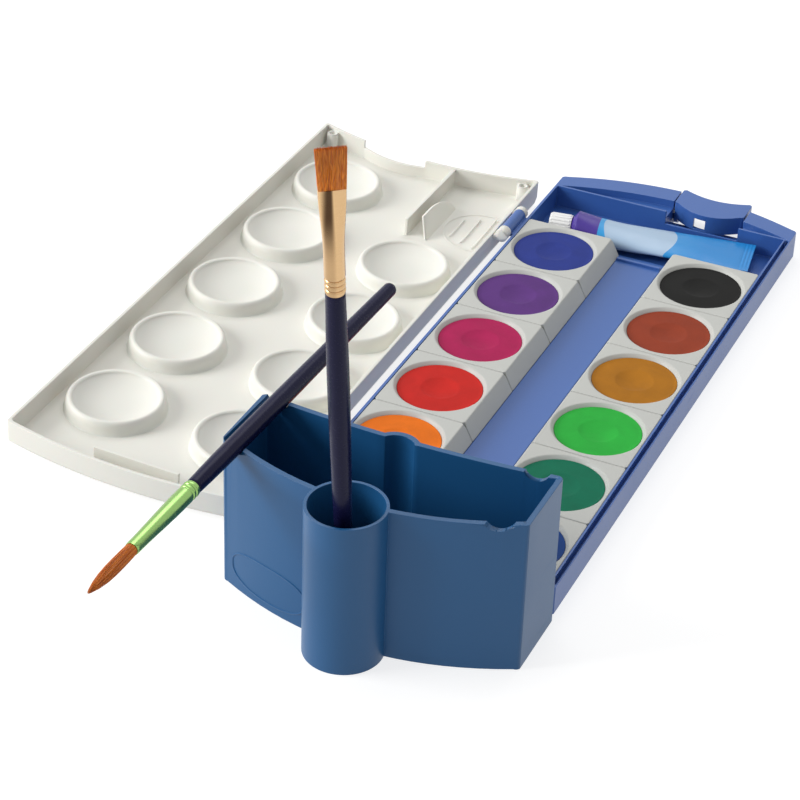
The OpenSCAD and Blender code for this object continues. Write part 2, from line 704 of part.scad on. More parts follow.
module tube_cap() {
    color("white") tube_place() translate([-shoulder_l - fit_gap - cap_l, 0, 0]) rotate([0, 90, 0]) difference() {
        union() {
            cylinder(r = cap_r - 0.25, h = cap_l);
            for (i = [0:17]) rotate([0, 0, 20 * i]) translate([cap_r - 0.6, -0.35, 0.6]) cube([0.6, 0.7, cap_l - 1.2]);
        }
        translate([0, 0, 1.6]) cylinder(r = neck_r + 0.08, h = cap_l);
    }
}

// Outline of the cup, drawn in by w
module cup_prism(w, z0, z1) {
    slope = atan(cup_draft / cup_h);
    difference() {
        union() {
            translate([0, 0, z0]) linear_extrude(z1 - z0) polygon(ends_pts(cup_x0 + w, cup_x1 - w,
                cup_front_y + w, cup_back_y - w, cup_front_bow, -cup_back_bow, cup_wall - w * 0.7));
            translate([holder_x, key_y, z0]) cylinder(r = key_r - w, h = z1 - z0);
        }
        translate([cup_x0 + w - cup_draft, -3 * cup_w, 0]) rotate([0, -slope, 0])
            translate([cup_draft - 20, 0, -10]) cube([20, 3 * cup_w, cup_h + 30]);
    }
}

module water_cup() {
    rest_z = cup_h + rbrush_up;
    color("steelblue") difference() {
        union() {
            difference() {
                cup_prism(0, 0, cup_h);
                cup_prism(cup_wall, cup_floor, cup_h + 1);
            }
            translate([holder_x, holder_y, 0]) cylinder(r = holder_r + holder_t, h = cup_h);
        }
        translate([holder_x, holder_y, cup_floor]) cylinder(r = holder_r, h = cup_h);
        round_place() translate([0, 0, 0]) cylinder(r = rest_r, h = rhandle_l);
        bar_y(cup_x1 - rest2_in, cup_h - rest2_d + rest2_arc, rest2_arc, cup_front_y - cup_front_bow, cup_back_y + 1);
    }
}

// The flat brush is drawn standing on its end, up +Z
module flat_place() {
    rise = cup_floor + fit_gap + fhandle_end_r * sin(flean);
    translate([holder_x - fend_off * cos(flean_dir), holder_y - fend_off * sin(flean_dir), rise])
        rotate([0, flean, flean_dir]) children();
}

// Radius of a handle of length l that swells from its end to a belly at share m and thins again
function handle_r(t, m, end_r, belly_r, neck) =
    t < m ? end_r + (belly_r - end_r) * pow(sin(90 * t / m), 1.3)
          : neck + (belly_r - neck) * pow(cos(90 * (t - m) / (1 - m)), 1.2);

// A turned handle with a round end
module handle(l, m, end_r, belly_r, neck) {
    dome = [for (i = [0:5]) let (a = -90 + 15 * i) [end_r * cos(a), end_r + end_r * sin(a)]];
    body = [for (i = [1:16]) let (t = i / 16) [handle_r(t, m, end_r, belly_r, neck), end_r + (l - end_r) * t]];
    rotate_extrude() polygon(concat(dome, body, [[0, l]]));
}

module flat_handle() {
    color("midnightblue") flat_place()
        handle(fhandle_l, 0.755, fhandle_end_r, fhandle_r, fferrule_r - 0.15);
}

flat_rings = 8;
flat_sides = 24;

// A ring of the flat ferrule at share t, from round at the handle to flat at the bristles
function flat_ring(t) = let (f = t < 0.45 ? 0 : (1 - cos(180 * (t - 0.45) / 0.55)) / 2,
        w = fferrule_r + (flat_w / 2 - fferrule_r) * f, d = fferrule_r + (flat_t / 2 - fferrule_r) * f)
    [for (i = [0:flat_sides - 1]) let (a = 360 * i / flat_sides, p = 1 - 0.5 * f)
        [w * sign(cos(a)) * pow(abs(cos(a)), p), d * sign(sin(a)) * pow(abs(sin(a)), p), fhandle_l + fferrule_l * t]];

module flat_ferrule() {
    pts = [for (j = [0:flat_rings]) each flat_ring(j / flat_rings)];
    color("burlywood") flat_place() {
        rotate([0, 0, fflat_dir - flean_dir]) mirror([0, 1, 0])
            polyhedron(pts, skin_faces(flat_rings, flat_sides));
        for (z = [4, 9]) translate([0, 0, fhandle_l + z]) rotate_extrude()
            polygon([[fferrule_r - 0.5, -0.8], [fferrule_r + 0.15, 0], [fferrule_r - 0.5, 0.8]]);
    }
}

// One strand of three sides from a to b, of radius r0 at its root and r1 at its end
module strand(a, b, r0, r1) {
    ring = [for (i = [0:2]) [cos(120 * i), sin(120 * i), 0]];
    polyhedron([for (v = ring) a + r0 * v, for (v = ring) b + r1 * v],
        [[0, 1, 2], [5, 4, 3], [0, 4, 1], [0, 3, 4], [1, 5, 2], [1, 4, 5], [2, 3, 0], [2, 5, 3]]);
}

// A strand of two stretches, through the point m
module bent_strand(a, m, b, r0, rm, r1) {
    ring = [for (i = [0:2]) [cos(120 * i), sin(120 * i), 0]];
    polyhedron([for (v = ring) a + r0 * v, for (v = ring) m + rm * v, for (v = ring) b + r1 * v],
        concat([[0, 1, 2], [8, 7, 6]], [for (j = [0, 3]) for (i = [0:2]) let (n = (i + 1) % 3)
            [j + i, j + 3 + n, j + n]], [for (j = [0, 3]) for (i = [0:2]) let (n = (i + 1) % 3)
            [j + i, j + 3 + i, j + 3 + n]]));
}

module flat_bristles() {
    w = flat_w - 0.7;
    d = flat_t - 0.7;
    z0 = fhandle_l + fferrule_l;
    px = w / flat_cols;
    py = d / flat_rows;
    r = min(px, py) / 2 * strand_fill;
    color("chocolate") flat_place() rotate([0, 0, fflat_dir - flean_dir]) {
        block([-w / 2 - 0.1, -d / 2 - 0.1, z0], [w / 2 + 0.1, d / 2 + 0.1, z0 + bind_t]);
        for (i = [0:flat_cols - 1]) for (j = [0:flat_rows - 1])
            let (x = (i + 0.5) * px - w / 2, y = (j + 0.5) * py - d / 2, drop = 0.5 * sin(137 * (i * flat_rows + j)))
            strand([x, y, z0 + bind_t - 0.2], [x * 1.14, y * 0.8, z0 + fbristle_l - 0.5 + drop], r, r * 0.7);
    }
}

// The round brush is drawn from the end of its handle, up +Z
module round_place() {
    translate([cup_x0 + rbrush_in, near_y + rbrush_y, cup_h + rbrush_up])
        rotate([0, 0, -rbrush_turn]) rotate([90, 0, 0]) children();
}

module round_handle() {
    color("midnightblue") round_place()
        handle(rhandle_l, 0.86, rhandle_end_r, rhandle_r, rferrule_r - 0.15);
}

module round_ferrule() {
    r0 = rferrule_r;
    r1 = rtip_r;
    color("yellowgreen") round_place() translate([0, 0, rhandle_l]) rotate_extrude() polygon(concat(
        [[0, 0], [r0, 0]],
        [for (i = [1:24]) let (t = i / 24) [r0 + (r1 - r0) * t - (i == 3 || i == 6 ? 0.25 : 0), rferrule_l * t]],
        [[0, rferrule_l]]));
}

// Width of the round bristles at share t of their length
function belly(t) = t < 0.3 ? 1 + 0.06 * sin(300 * t) : 1.06 * pow(cos(90 * (t - 0.3) / 0.72), 0.9);

module round_bristles() {
    z0 = rhandle_l + rferrule_l;
    r0 = rtip_r - 0.3;
    strand_r = r0 * sqrt(1 / round_strands) * strand_fill;
    color("chocolate") round_place() {
        translate([0, 0, z0]) cylinder(r = r0 + 0.12, h = bind_t);
        for (i = [0:round_strands - 1])
            let (rr = r0 * sqrt((i + 0.5) / round_strands), a = 137.508 * i, u = [cos(a), sin(a), 0],
                t = 0.97 - 0.22 * pow(rr / r0, 2), m = 0.42)
            bent_strand(rr * u + [0, 0, z0 + bind_t - 0.2], rr * belly(m) * u + [0, 0, z0 + m * rbristle_l],
                rr * belly(t) * u + [0, 0, z0 + t * rbristle_l], strand_r, strand_r * belly(m), strand_r * belly(t));
    }
}

base_tray();
latch();
lid_tray();
well(well_u2, 0);  // well_a1
well(well_u2, 1);  // well_a2
well(well_u2, 2);  // well_a3
well(well_u2, 3);  // well_a4
well(well_u2, 4);  // well_a5
well(well_u1, 1);  // well_b1
well(well_u1, 2);  // well_b2
well(well_u1, 3);  // well_b3
well(well_u1, 4);  // well_b4
pan(0, 0);  // pan_left_1
pan(0, 1);  // pan_left_2
pan(0, 2);  // pan_left_3
pan(0, 3);  // pan_left_4
pan(0, 4);  // pan_left_5
pan(0, 5);  // pan_left_6
pan(1, 0);  // pan_right_1
pan(1, 1);  // pan_right_2
pan(1, 2);  // pan_right_3
pan(1, 3);  // pan_right_4
pan(1, 4);  // pan_right_5
pan(1, 5);  // pan_right_6
paint(0, 0, "mediumblue");  // paint_ultramarine
paint(0, 1, "purple");  // paint_violet
paint(0, 2, "mediumvioletred");  // paint_magenta
paint(0, 3, "crimson");  // paint_red
paint(0, 4, "darkorange");  // paint_orange
paint(0, 5, "gold");  // paint_yellow
paint(1, 0, "black");  // paint_black
paint(1, 1, "sienna");  // paint_brown
paint(1, 2, "darkgoldenrod");  // paint_ochre
paint(1, 3, "limegreen");  // paint_light_green
paint(1, 4, "seagreen");  // paint_dark_green
paint(1, 5, "steelblue");  // paint_blue
tube_body();
tube_cap();
water_cup();
flat_handle();
flat_ferrule();
flat_bristles();
round_handle();
round_ferrule();
round_bristles();
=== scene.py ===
"""Looks of a gouache paint set: a tray of paint pans, a lid with mixing wells, a water cup and brushes.

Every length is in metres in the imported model's own frame: +Z up, +Y along the tray towards its latch,
the origin under the middle of the tray.
"""

import logging
from abc import ABC, abstractmethod
from dataclasses import dataclass
from enum import Enum
from math import copysign, cos, exp, pi, radians, sin
from typing import Any, Callable, Iterable

import bmesh
import bpy
from mathutils import Matrix, Vector, noise
from mathutils.bvhtree import BVHTree


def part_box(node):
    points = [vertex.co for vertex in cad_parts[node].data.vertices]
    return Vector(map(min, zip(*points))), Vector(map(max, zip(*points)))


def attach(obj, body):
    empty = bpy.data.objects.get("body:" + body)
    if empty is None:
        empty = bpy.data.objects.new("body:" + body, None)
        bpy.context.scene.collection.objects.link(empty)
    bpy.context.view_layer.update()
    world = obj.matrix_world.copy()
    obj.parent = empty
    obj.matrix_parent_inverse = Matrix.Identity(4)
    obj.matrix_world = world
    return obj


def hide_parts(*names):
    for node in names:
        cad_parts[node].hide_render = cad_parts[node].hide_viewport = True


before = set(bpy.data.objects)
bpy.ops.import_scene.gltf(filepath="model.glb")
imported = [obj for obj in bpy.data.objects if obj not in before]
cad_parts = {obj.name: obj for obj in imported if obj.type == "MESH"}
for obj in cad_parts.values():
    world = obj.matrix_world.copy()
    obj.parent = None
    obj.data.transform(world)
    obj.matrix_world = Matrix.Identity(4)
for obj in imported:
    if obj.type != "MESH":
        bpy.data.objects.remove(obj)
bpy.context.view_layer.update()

LOG = logging.getLogger("paint_set")
MM = 0.001
GOLDEN_ANGLE = 2.39996
SAME_PLACE = 2e-6
FLAT_WITHIN = radians(0.6)
ON_SURFACE = 0.02 * MM
WHITE = (1, 1, 1, 1)
Material = bpy.types.Material
Mesh = bpy.types.Mesh
Node = bpy.types.Node
Shape = bmesh.types.BMesh
Rgba = tuple[float, float, float, float]
Pair = tuple[float, float]
Triple = tuple[float, float, float]
Inputs = dict[Any, Any]


def tint(red: int, green: int, blue: int) -> Rgba:
    """Turn a colour as a screen shows it, 0 to 255, into the linear one that shaders use."""

    def straighten(value: int) -> float:
        share = value / 255
        return share / 12.92 if share <= 0.04045 else ((share + 0.055) / 1.055) ** 2.4

    return straighten(red), straighten(green), straighten(blue), 1.0


class Wire:
    """A node's output, on which +, - and * make Math nodes."""

    def __init__(self, graph: "Graph", socket: bpy.types.NodeSocket) -> None:
        self.graph, self.socket = graph, socket

    def __add__(self, other: "Wire | float") -> "Wire":
        return self.graph.calc("ADD", self, other)

    def __sub__(self, other: "Wire | float") -> "Wire":
        return self.graph.calc("SUBTRACT", self, other)

    def __mul__(self, other: "Wire | float") -> "Wire":
        return self.graph.calc("MULTIPLY", self, other)


class Graph:
    """A node tree that is being built."""

    def __init__(self, tree: bpy.types.NodeTree) -> None:
        self.tree = tree

    def feed(self, node: Node, inputs: Inputs) -> None:
        """Give each named or numbered input of a node its value or its wire."""
        for key, value in inputs.items():
            if isinstance(value, Wire):
                self.tree.links.new(value.socket, node.inputs[key])
            else:
                node.inputs[key].default_value = value

    def put(self, kind: str, inputs: Inputs | None = None, **settings: Any) -> Node:
        """Add a node.

        Args:
            kind: The node's type name.
            inputs: Value or wire for each input, by name or index.
            **settings: The node's own properties.

        Returns:
            The new node.
        """
        node = self.tree.nodes.new(kind)
        for key, value in settings.items():
            setattr(node, key, value)
        self.feed(node, inputs or {})
        return node

    def wire(self, kind: str, inputs: Inputs | None = None, output: int | str = 0, **settings: Any) -> Wire:
        """Add a node and return one of its outputs."""
        return Wire(self, self.put(kind, inputs, **settings).outputs[output])

    def wires(self, kind: str, inputs: Inputs | None = None, **settings: Any) -> dict[str, Wire]:
        """Add a node and return its outputs by name."""
        return {socket.name: Wire(self, socket) for socket in self.put(kind, inputs, **settings).outputs}

    def calc(self, operation: str, *values: Wire | float) -> Wire:
        """Add a Math node."""
        return self.wire("ShaderNodeMath", dict(enumerate(values)), operation=operation)

    def blend(self, factor: Wire | float, first: Wire | Rgba, second: Wire | Rgba, mode: str = "MIX") -> Wire:
        """Add a Mix node for colours."""
        return self.wire("ShaderNodeMix", {0: factor, 6: first, 7: second}, 2, data_type="RGBA", blend_type=mode)

    def remap(self, value: Wire, start: float, end: float, low: float = 0.0, high: float = 1.0,
              kind: str = "LINEAR") -> Wire:
        """Add a Map Range node that turns start to end into low to high."""
        return self.wire("ShaderNodeMapRange", {0: value, 1: start, 2: end, 3: low, 4: high}, interpolation_type=kind)

    def place(self, scale: Triple = (1, 1, 1), move: Triple = (0, 0, 0), turn: Triple = (0, 0, 0)) -> Wire:
        """Add Object coordinates, scaled and turned and then moved."""
        source = self.wire("ShaderNodeTexCoord", output="Object")
        return self.wire("ShaderNodeMapping", {"Vector": source, "Location": move, "Rotation": turn, "Scale": scale})

    def cloud(self, scale: float, detail: float, distortion: float = 0.0, place: Wire | None = None) -> Wire:
        """Add a Noise Texture node over Object coordinates, or over those given."""
        return self.wire("ShaderNodeTexNoise", {
            "Vector": place or self.place(), "Scale": scale, "Detail": detail, "Distortion": distortion})

    def bump(self, height: Wire, depth: float, strength: float = 0.5) -> Wire:
        """Add a Bump node of a depth in metres."""
        return self.wire("ShaderNodeBump", {"Height": height, "Distance": depth, "Strength": strength})


class Effects:
    """Shader groups that several finishes share, each built once."""

    made: dict[str, Graph] = {}

    @staticmethod
    def group(name: str, inputs: dict[str, Any], outputs: dict[str, str]) -> Graph:
        """Make an empty shader node group with named sockets.

        Args:
            name: The group's name.
            inputs: Default value for each input's name: a number, a colour of four or a vector of three.
            outputs: Socket type for each output's name.

        Returns:
            The group.
        """
        tree = bpy.data.node_groups.new(name, "ShaderNodeTree")
        for label, value in inputs.items():
            kind = "NodeSocket" + ("Float" if isinstance(value, float) else {3: "Vector", 4: "Color"}[len(value)])
            tree.interface.new_socket(name=label, in_out="INPUT", socket_type=kind).default_value = value
        for label, kind in outputs.items():
            tree.interface.new_socket(name=label, in_out="OUTPUT", socket_type="NodeSocket" + kind)
        return Graph(tree)

    @classmethod
    def moulding(cls) -> bpy.types.NodeTree:
        """Return the group for moulded plastic: clouds of colour, flow lines, fine peel and rubbed scratches."""
        if "moulding" not in cls.made:
            graph = cls.made["moulding"] = cls.group("moulded_surface", {
                "Colour": (0.8, 0.8, 0.8, 1), "Clouds": 0.04, "Scratches": 0.3, "Gloss": 0.3},
                {"Colour": "Color", "Roughness": "Float", "Height": "Float"})
            given = graph.wires("NodeGroupInput")
            clouds = graph.cloud(22.0, 3.0)
            flow = graph.cloud(1.0, 4.0, 0.4, graph.place((90, 14, 90)))
            level = (clouds * 0.6 + flow * 0.4 - 0.5) * given["Clouds"] * 2.0 + 1.0
            grey = graph.wire("ShaderNodeCombineColor", {0: level, 1: level, 2: level})
            marks = [graph.remap(graph.cloud(1.0, 2.0, place=graph.place(stretch, turn=(0, 0, angle))), 0.66, 0.72)
                     for stretch, angle in (((60, 1500, 200), 0.5), ((1700, 45, 200), -0.3))]
            rubbed = graph.calc("MAXIMUM", *marks) * given["Scratches"]
            graph.put("NodeGroupOutput", {
                "Colour": graph.blend(1.0, given["Colour"], grey, "MULTIPLY"),
                "Roughness": given["Gloss"] + (rubbed * 0.1 + (clouds - 0.5) * 0.12),
                "Height": graph.cloud(1300.0, 2.0)})
        return cls.made["moulding"].tree

    @classmethod
    def streaks(cls) -> bpy.types.NodeTree:
        """Return the group for fine lines along one direction, as in turned metal, hair and lacquered wood."""
        if "streaks" not in cls.made:
            graph = cls.made["streaks"] = cls.group("fine_streaks", {
                "Vector": (0, 0, 0), "Light": (0.8, 0.8, 0.8, 1), "Dark": (0.4, 0.4, 0.4, 1), "Contrast": 1.0},
                {"Colour": "Color", "Mask": "Float"})
            given = graph.wires("NodeGroupInput")
            mask = (graph.cloud(1.0, 3.0, place=given["Vector"]) - 0.5) * given["Contrast"] + 0.5
            mask = graph.calc("MINIMUM", graph.calc("MAXIMUM", mask, 0.0), 1.0)
            graph.put("NodeGroupOutput", {"Colour": graph.blend(mask, given["Dark"], given["Light"]), "Mask": mask})
        return cls.made["streaks"].tree

    @classmethod
    def streaked(cls, graph: Graph, along: Wire, light: Rgba, dark: Rgba, contrast: float) -> tuple[Wire, Wire]:
        """Add lines over coordinates that are stretched across them, and return their colour and mask."""
        made = graph.wires("ShaderNodeGroup", {
            "Vector": along, "Light": light, "Dark": dark, "Contrast": contrast}, node_tree=cls.streaks())
        return made["Colour"], made["Mask"]


@dataclass(frozen=True)
class Finish(ABC):
    """A look that pieces can have."""

    name: str

    def material(self, place: Matrix = Matrix.Identity(4)) -> Material:
        """Build the material.

        Args:
            place: Where the piece's own frame is, for a finish that follows it.

        Returns:
            The material.
        """
        material = bpy.data.materials.new(self.name)
        material.use_nodes = True
        graph = Graph(material.node_tree)
        graph.feed(graph.tree.nodes["Principled BSDF"], self.inputs(graph, place))
        return material

    @abstractmethod
    def inputs(self, graph: Graph, place: Matrix) -> Inputs:
        """Add the finish's nodes and return the main shader's inputs."""


@dataclass(frozen=True)
class Matt(Finish):
    """A plain dull surface."""

    colour: Rgba
    rough: float = 0.9
    shine: float = 0.1

    def inputs(self, graph: Graph, place: Matrix) -> Inputs:
        """Return the main shader's inputs."""
        return {"Base Color": self.colour, "Roughness": self.rough, "Specular IOR Level": self.shine}


@dataclass(frozen=True)
class Plastic(Finish):
    """A moulded plastic: colour, gloss and how worn it is."""

    colour: Rgba
    gloss: float = 0.3
    clouds: float = 0.05
    scratches: float = 0.35
    shine: float = 0.3
    soft_light: float = 0.0
    peel: float = 0.03 * MM
    soft_reach: float = 2 * MM

    def inputs(self, graph: Graph, place: Matrix) -> Inputs:
        """Add the moulded surface and return the main shader's inputs."""
        made = graph.wires("ShaderNodeGroup", {"Colour": self.colour, "Clouds": self.clouds,
                           "Scratches": self.scratches, "Gloss": self.gloss}, node_tree=Effects.moulding())
        return {"Base Color": made["Colour"], "Roughness": made["Roughness"], "Specular IOR Level": self.shine,
                "Normal": graph.bump(made["Height"], self.peel),
                "Subsurface Weight": self.soft_light, "Subsurface Scale": self.soft_reach}


@dataclass(frozen=True)
class Gouache(Finish):
    """A cake of dried gouache: matt and chalky, with darker damp clouds and fine pits."""

    colour: Rgba
    dark: float = 0.88
    light: float = 1.08
    chalk: float = 0.004
    shine: float = 0.07
    relief: float = 0.05 * MM

    def inputs(self, graph: Graph, place: Matrix) -> Inputs:
        """Add the chalky surface and return the main shader's inputs."""
        clouds, grain = graph.cloud(120.0, 4.0, 0.3), graph.cloud(2600.0, 3.0)
        cells = graph.wire("ShaderNodeTexVoronoi", {"Vector": graph.place(), "Scale": 900.0})
        deep = (*[value * self.dark for value in self.colour[:3]], 1)
        pale = (*[min(1.0, value * self.light + self.chalk) for value in self.colour[:3]], 1)
        height = clouds + grain * 0.35 - graph.remap(cells, 0.0, 0.16, 1.0, 0.0) * 0.6
        return {"Base Color": graph.blend(graph.remap(clouds * 0.75 + grain * 0.25, 0.32, 0.68), deep, pale),
                "Roughness": graph.remap(clouds, 0.3, 0.7, 0.48, 0.62), "Specular IOR Level": self.shine,
                "Normal": graph.bump(height, self.relief)}


@dataclass(frozen=True)
class TurnedMetal(Finish):
    """A drawn metal ferrule with fine lines round it and an anodised tint, with a painted dark reflection along one
    side.
    """

    light: Rgba
    dark: Rgba
    painted_dark_reflection: Rgba
    dark_reflection_angle: float
    dark_reflection_span: Pair
    metallic: float = 0.9
    relief: float = 0.004 * MM

    def inputs(self, graph: Graph, place: Matrix) -> Inputs:
        """Add the turned surface, place's +Z being its length, and return the main shader's inputs."""
        own = place.inverted()
        local = graph.place(move=tuple(own.translation), turn=tuple(own.to_euler("XYZ")))
        lines = graph.wire("ShaderNodeMapping", {"Vector": local, "Scale": (300, 300, 2600)})
        colour, mask = Effects.streaked(graph, lines, self.light, self.dark, 0.9)
        axes = graph.wires("ShaderNodeSeparateXYZ", {0: local})
        # Painted dark reflection: the metal's colour is darkened on the side facing one angle round its axis, more so
        # towards the hair end.
        wave = graph.calc("COSINE", graph.calc("ARCTAN2", axes["Y"], axes["X"]) - self.dark_reflection_angle)
        dark_reflection_mask = (graph.remap(wave, 0.74, 0.99, 0.0, 0.95, "SMOOTHSTEP")
                  * graph.remap(axes["Z"], *self.dark_reflection_span, 0.3, 1.0, "SMOOTHSTEP"))
        return {"Base Color": graph.blend(dark_reflection_mask, colour, self.painted_dark_reflection), "Metallic": self.metallic,
                "Roughness": graph.remap(graph.cloud(260.0, 4.0), 0.3, 0.7, 0.2, 0.3),
                "Normal": graph.bump(mask, self.relief, 0.3)}


@dataclass(frozen=True)
class Lacquer(Finish):
    """Dark lacquer over turned wood."""

    along: Triple
    light: Rgba = tint(22, 22, 58)
    dark: Rgba = tint(17, 17, 48)
    shine: float = 0.13
    relief: float = 0.01 * MM

    def inputs(self, graph: Graph, place: Matrix) -> Inputs:
        """Add the lacquered surface and return the main shader's inputs."""
        colour, mask = Effects.streaked(graph, graph.place(self.along), self.light, self.dark, 0.5)
        return {"Base Color": colour, "Roughness": graph.remap(graph.cloud(900.0, 2.0), 0.4, 0.75, 0.25, 0.29),
                "Specular IOR Level": self.shine, "Normal": graph.bump(mask, self.relief, 0.3)}


@dataclass(frozen=True)
class Hair(Finish):
    """Synthetic brush hair in light and dark strands, the light ones glossier."""

    along: Triple
    light: Rgba
    dark: Rgba

    def inputs(self, graph: Graph, place: Matrix) -> Inputs:
        """Add the strands and return the main shader's inputs."""
        colour, mask = Effects.streaked(graph, graph.place(self.along), self.light, self.dark, 2.6)
        return {"Base Color": colour, "Roughness": graph.remap(mask, 0.0, 1.0, 0.5, 0.34)}


@dataclass(frozen=True)
class PrintedFoil(Finish):
    """Printed aluminium foil: a violet band at the shoulder and a pale round patch on blue, with soft dents."""

    start: Triple
    turn: float
    band_end: float
    patch_middle: float
    patch_radius: float
    band_colour: Rgba = tint(74, 52, 148)
    light_blue: Rgba = tint(52, 158, 222)
    deep_blue: Rgba = tint(30, 134, 206)
    pale: Rgba = tint(172, 196, 220)
    print_edge: float = 0.05 * MM
    shine: float = 0.4
    relief: float = 0.5 * MM

    def inputs(self, graph: Graph, place: Matrix) -> Inputs:
        """Add the printed surface and return the main shader's inputs."""
        shift = Matrix.Rotation(-self.turn, 3, "Z") @ Vector(self.start)
        own = graph.place(move=tuple(-v for v in shift), turn=(0, 0, -self.turn))
        axes = graph.wires("ShaderNodeSeparateXYZ", {0: own})
        along, across = axes["X"], axes["Y"]
        ahead = along - self.patch_middle
        reach = graph.calc("SQRT", ahead * ahead + across * across)
        colour = graph.blend(graph.remap(along, 20 * MM, 50 * MM), self.light_blue, self.deep_blue)
        for value, end, printed in ((reach, self.patch_radius, self.pale), (along, self.band_end, self.band_colour)):
            inside = graph.remap(value, end + self.print_edge, end - self.print_edge)
            colour = graph.blend(inside, colour, printed)
        crumple = graph.cloud(95.0, 3.0, 0.6)
        return {"Base Color": colour, "Roughness": graph.remap(crumple, 0.35, 0.7, 0.3, 0.45),
                "Specular IOR Level": self.shine, "Normal": graph.bump(crumple, self.relief, 0.3)}


TRAY_BLUE = Plastic("tray_blue_plastic", tint(58, 98, 168), gloss=0.32, clouds=0.04, shine=0.5)
CUP_BLUE = Plastic("cup_blue_plastic", tint(28, 85, 133), gloss=0.38, clouds=0.04, scratches=0.25, shine=0.4)
LID_WHITE = Plastic("lid_white_plastic", tint(230, 229, 221), gloss=0.42, clouds=0.02, soft_light=0.06)
PAN_GREY = Plastic("pan_grey_plastic", tint(194, 195, 190), gloss=0.4, clouds=0.03)
CAP_WHITE = Plastic("cap_white_plastic", tint(238, 238, 236), gloss=0.45, clouds=0.02)
# Each ferrule's third colour, angle and height range make a painted dark reflection, not the metal's own tint.
GOLD_FERRULE = TurnedMetal("gold_ferrule_metal", tint(222, 186, 140), tint(210, 172, 124), tint(60, 38, 22),
                           radians(-122), (150 * MM, 168 * MM))
GREEN_FERRULE = TurnedMetal("green_ferrule_metal", tint(154, 192, 116), tint(140, 182, 104), tint(74, 112, 56),
                            radians(200), (134 * MM, 160 * MM))
UPRIGHT_LACQUER = Lacquer("upright_blue_lacquer", (700, 700, 30))
LYING_LACQUER = Lacquer("lying_blue_lacquer", (700, 30, 700))
UPRIGHT_HAIR = Hair("upright_brush_hair", (2600, 2600, 60), tint(255, 160, 44), tint(190, 88, 10))
LYING_HAIR = Hair("lying_brush_hair", (2600, 60, 2600), tint(246, 148, 44), tint(176, 82, 12))
PAINTS: tuple[tuple[str, Rgba], ...] = (
    ("ultramarine", tint(46, 60, 136)), ("violet", tint(94, 56, 124)), ("magenta", tint(172, 36, 86)),
    ("red", tint(198, 42, 36)), ("orange", tint(232, 116, 30)), ("yellow", tint(238, 192, 36)),
    ("black", tint(24, 24, 23)), ("brown", tint(146, 62, 40)), ("ochre", tint(172, 112, 30)),
    ("light_green", tint(48, 176, 66)), ("dark_green", tint(20, 110, 82)), ("blue", tint(34, 68, 130)))


def circle(count: int) -> list[float]:
    """Return the angles of equal steps round a full turn, in radians."""
    return [2 * pi * k / count for k in range(count)]


def squared_off(value: float, power: float) -> float:
    """Raise the size of a sine or cosine to a power, which brings a circle nearer to a square below 1."""
    return copysign(abs(value) ** power, value)


def linked(name: str, data: bpy.types.ID) -> bpy.types.Object:
    """Make an object from its data and link it to the scene."""
    thing = bpy.data.objects.new(name, data)
    bpy.context.scene.collection.objects.link(thing)
    return thing


def plain_mesh(shape: Shape, name: str) -> Mesh:
    """Turn a shape into a mesh and free it."""
    mesh = bpy.data.meshes.new(name)
    shape.to_mesh(mesh)
    shape.free()
    return mesh


def closed_mesh(shape: Shape, rings: list[list[bmesh.types.BMVert]], name: str) -> Mesh:
    """Join rings of corners in order into a skin that looks outwards.

    Args:
        shape: The shape that the corners are in. It is freed.
        rings: The rings, of equally many corners each or of a single one.
        name: The mesh's name.

    Returns:
        The skin's mesh.
    """
    for low, high in zip(rings, rings[1:]):
        for k in range(max(len(low), len(high))):
            corners = (low[k % len(low)], low[(k + 1) % len(low)], high[(k + 1) % len(high)], high[k % len(high)])
            shape.faces.new(tuple(dict.fromkeys(corners)))
    bmesh.ops.recalc_face_normals(shape, faces=shape.faces)
    return plain_mesh(shape, name)


def loft(rings: list[list[Vector]], name: str) -> Mesh:
    """Join rings of points into a closed skin with a flat face at each end.

    Args:
        rings: Rings of equally many points, in order along the shape.
        name: The mesh's name.

    Returns:
        The skin's mesh.
    """
    shape = bmesh.new()
    rows = [[shape.verts.new(point) for point in ring] for ring in rings]
    shape.faces.new(list(reversed(rows[0])))
    shape.faces.new(rows[-1])
    return closed_mesh(shape, rows, name)


@dataclass(frozen=True)
class Rounding:
    """How a copy of a machined solid gets its soft moulded edges.

    With broad_faces, an edge beside a face narrower than `broad` widths stays sharp, and the flat faces are
    cut into triangles first, because rounding would otherwise turn parts of them inside out.
    """

    width: float
    steps: int = 2
    sharper_than: float = radians(32)
    longer_than: float = 0.7 * MM
    broad_faces: bool = True
    broad: float = 5

    def takes(self, edge: bmesh.types.BMEdge) -> bool:
        """Tell whether an edge is sharp, and it and the faces beside it are large enough for it to be rounded."""
        length = edge.calc_length()
        if not edge.is_manifold or edge.calc_face_angle(0) <= self.sharper_than or length <= self.longer_than:
            return False
        narrow = self.broad * self.width * length
        return not (self.broad_faces and any(face.calc_area() < narrow for face in edge.link_faces))


def round_edges(solid: Shape, edges: list[bmesh.types.BMEdge], width: float, steps: int) -> None:
    """Round some of a solid's edges in place."""
    bmesh.ops.bevel(solid, geom=edges, offset=width, offset_type="OFFSET", segments=steps, profile=0.5,
                    affect="EDGES", clamp_overlap=False, material=-1)


def drop_turned_slivers(solid: Shape, source: BVHTree) -> None:
    """Delete thin faces that rounding has left inside out on a flat side.

    Args:
        solid: The rounded shape, changed in place.
        source: The shape as it was before.
    """
    solid.normal_update()
    turned = []
    for face in solid.faces:
        _, normal, _, distance = source.find_nearest(face.calc_center_median())
        if distance < ON_SURFACE and normal.dot(face.normal) < -0.5:
            turned.append(face)
    bmesh.ops.delete(solid, geom=turned, context="FACES_ONLY")


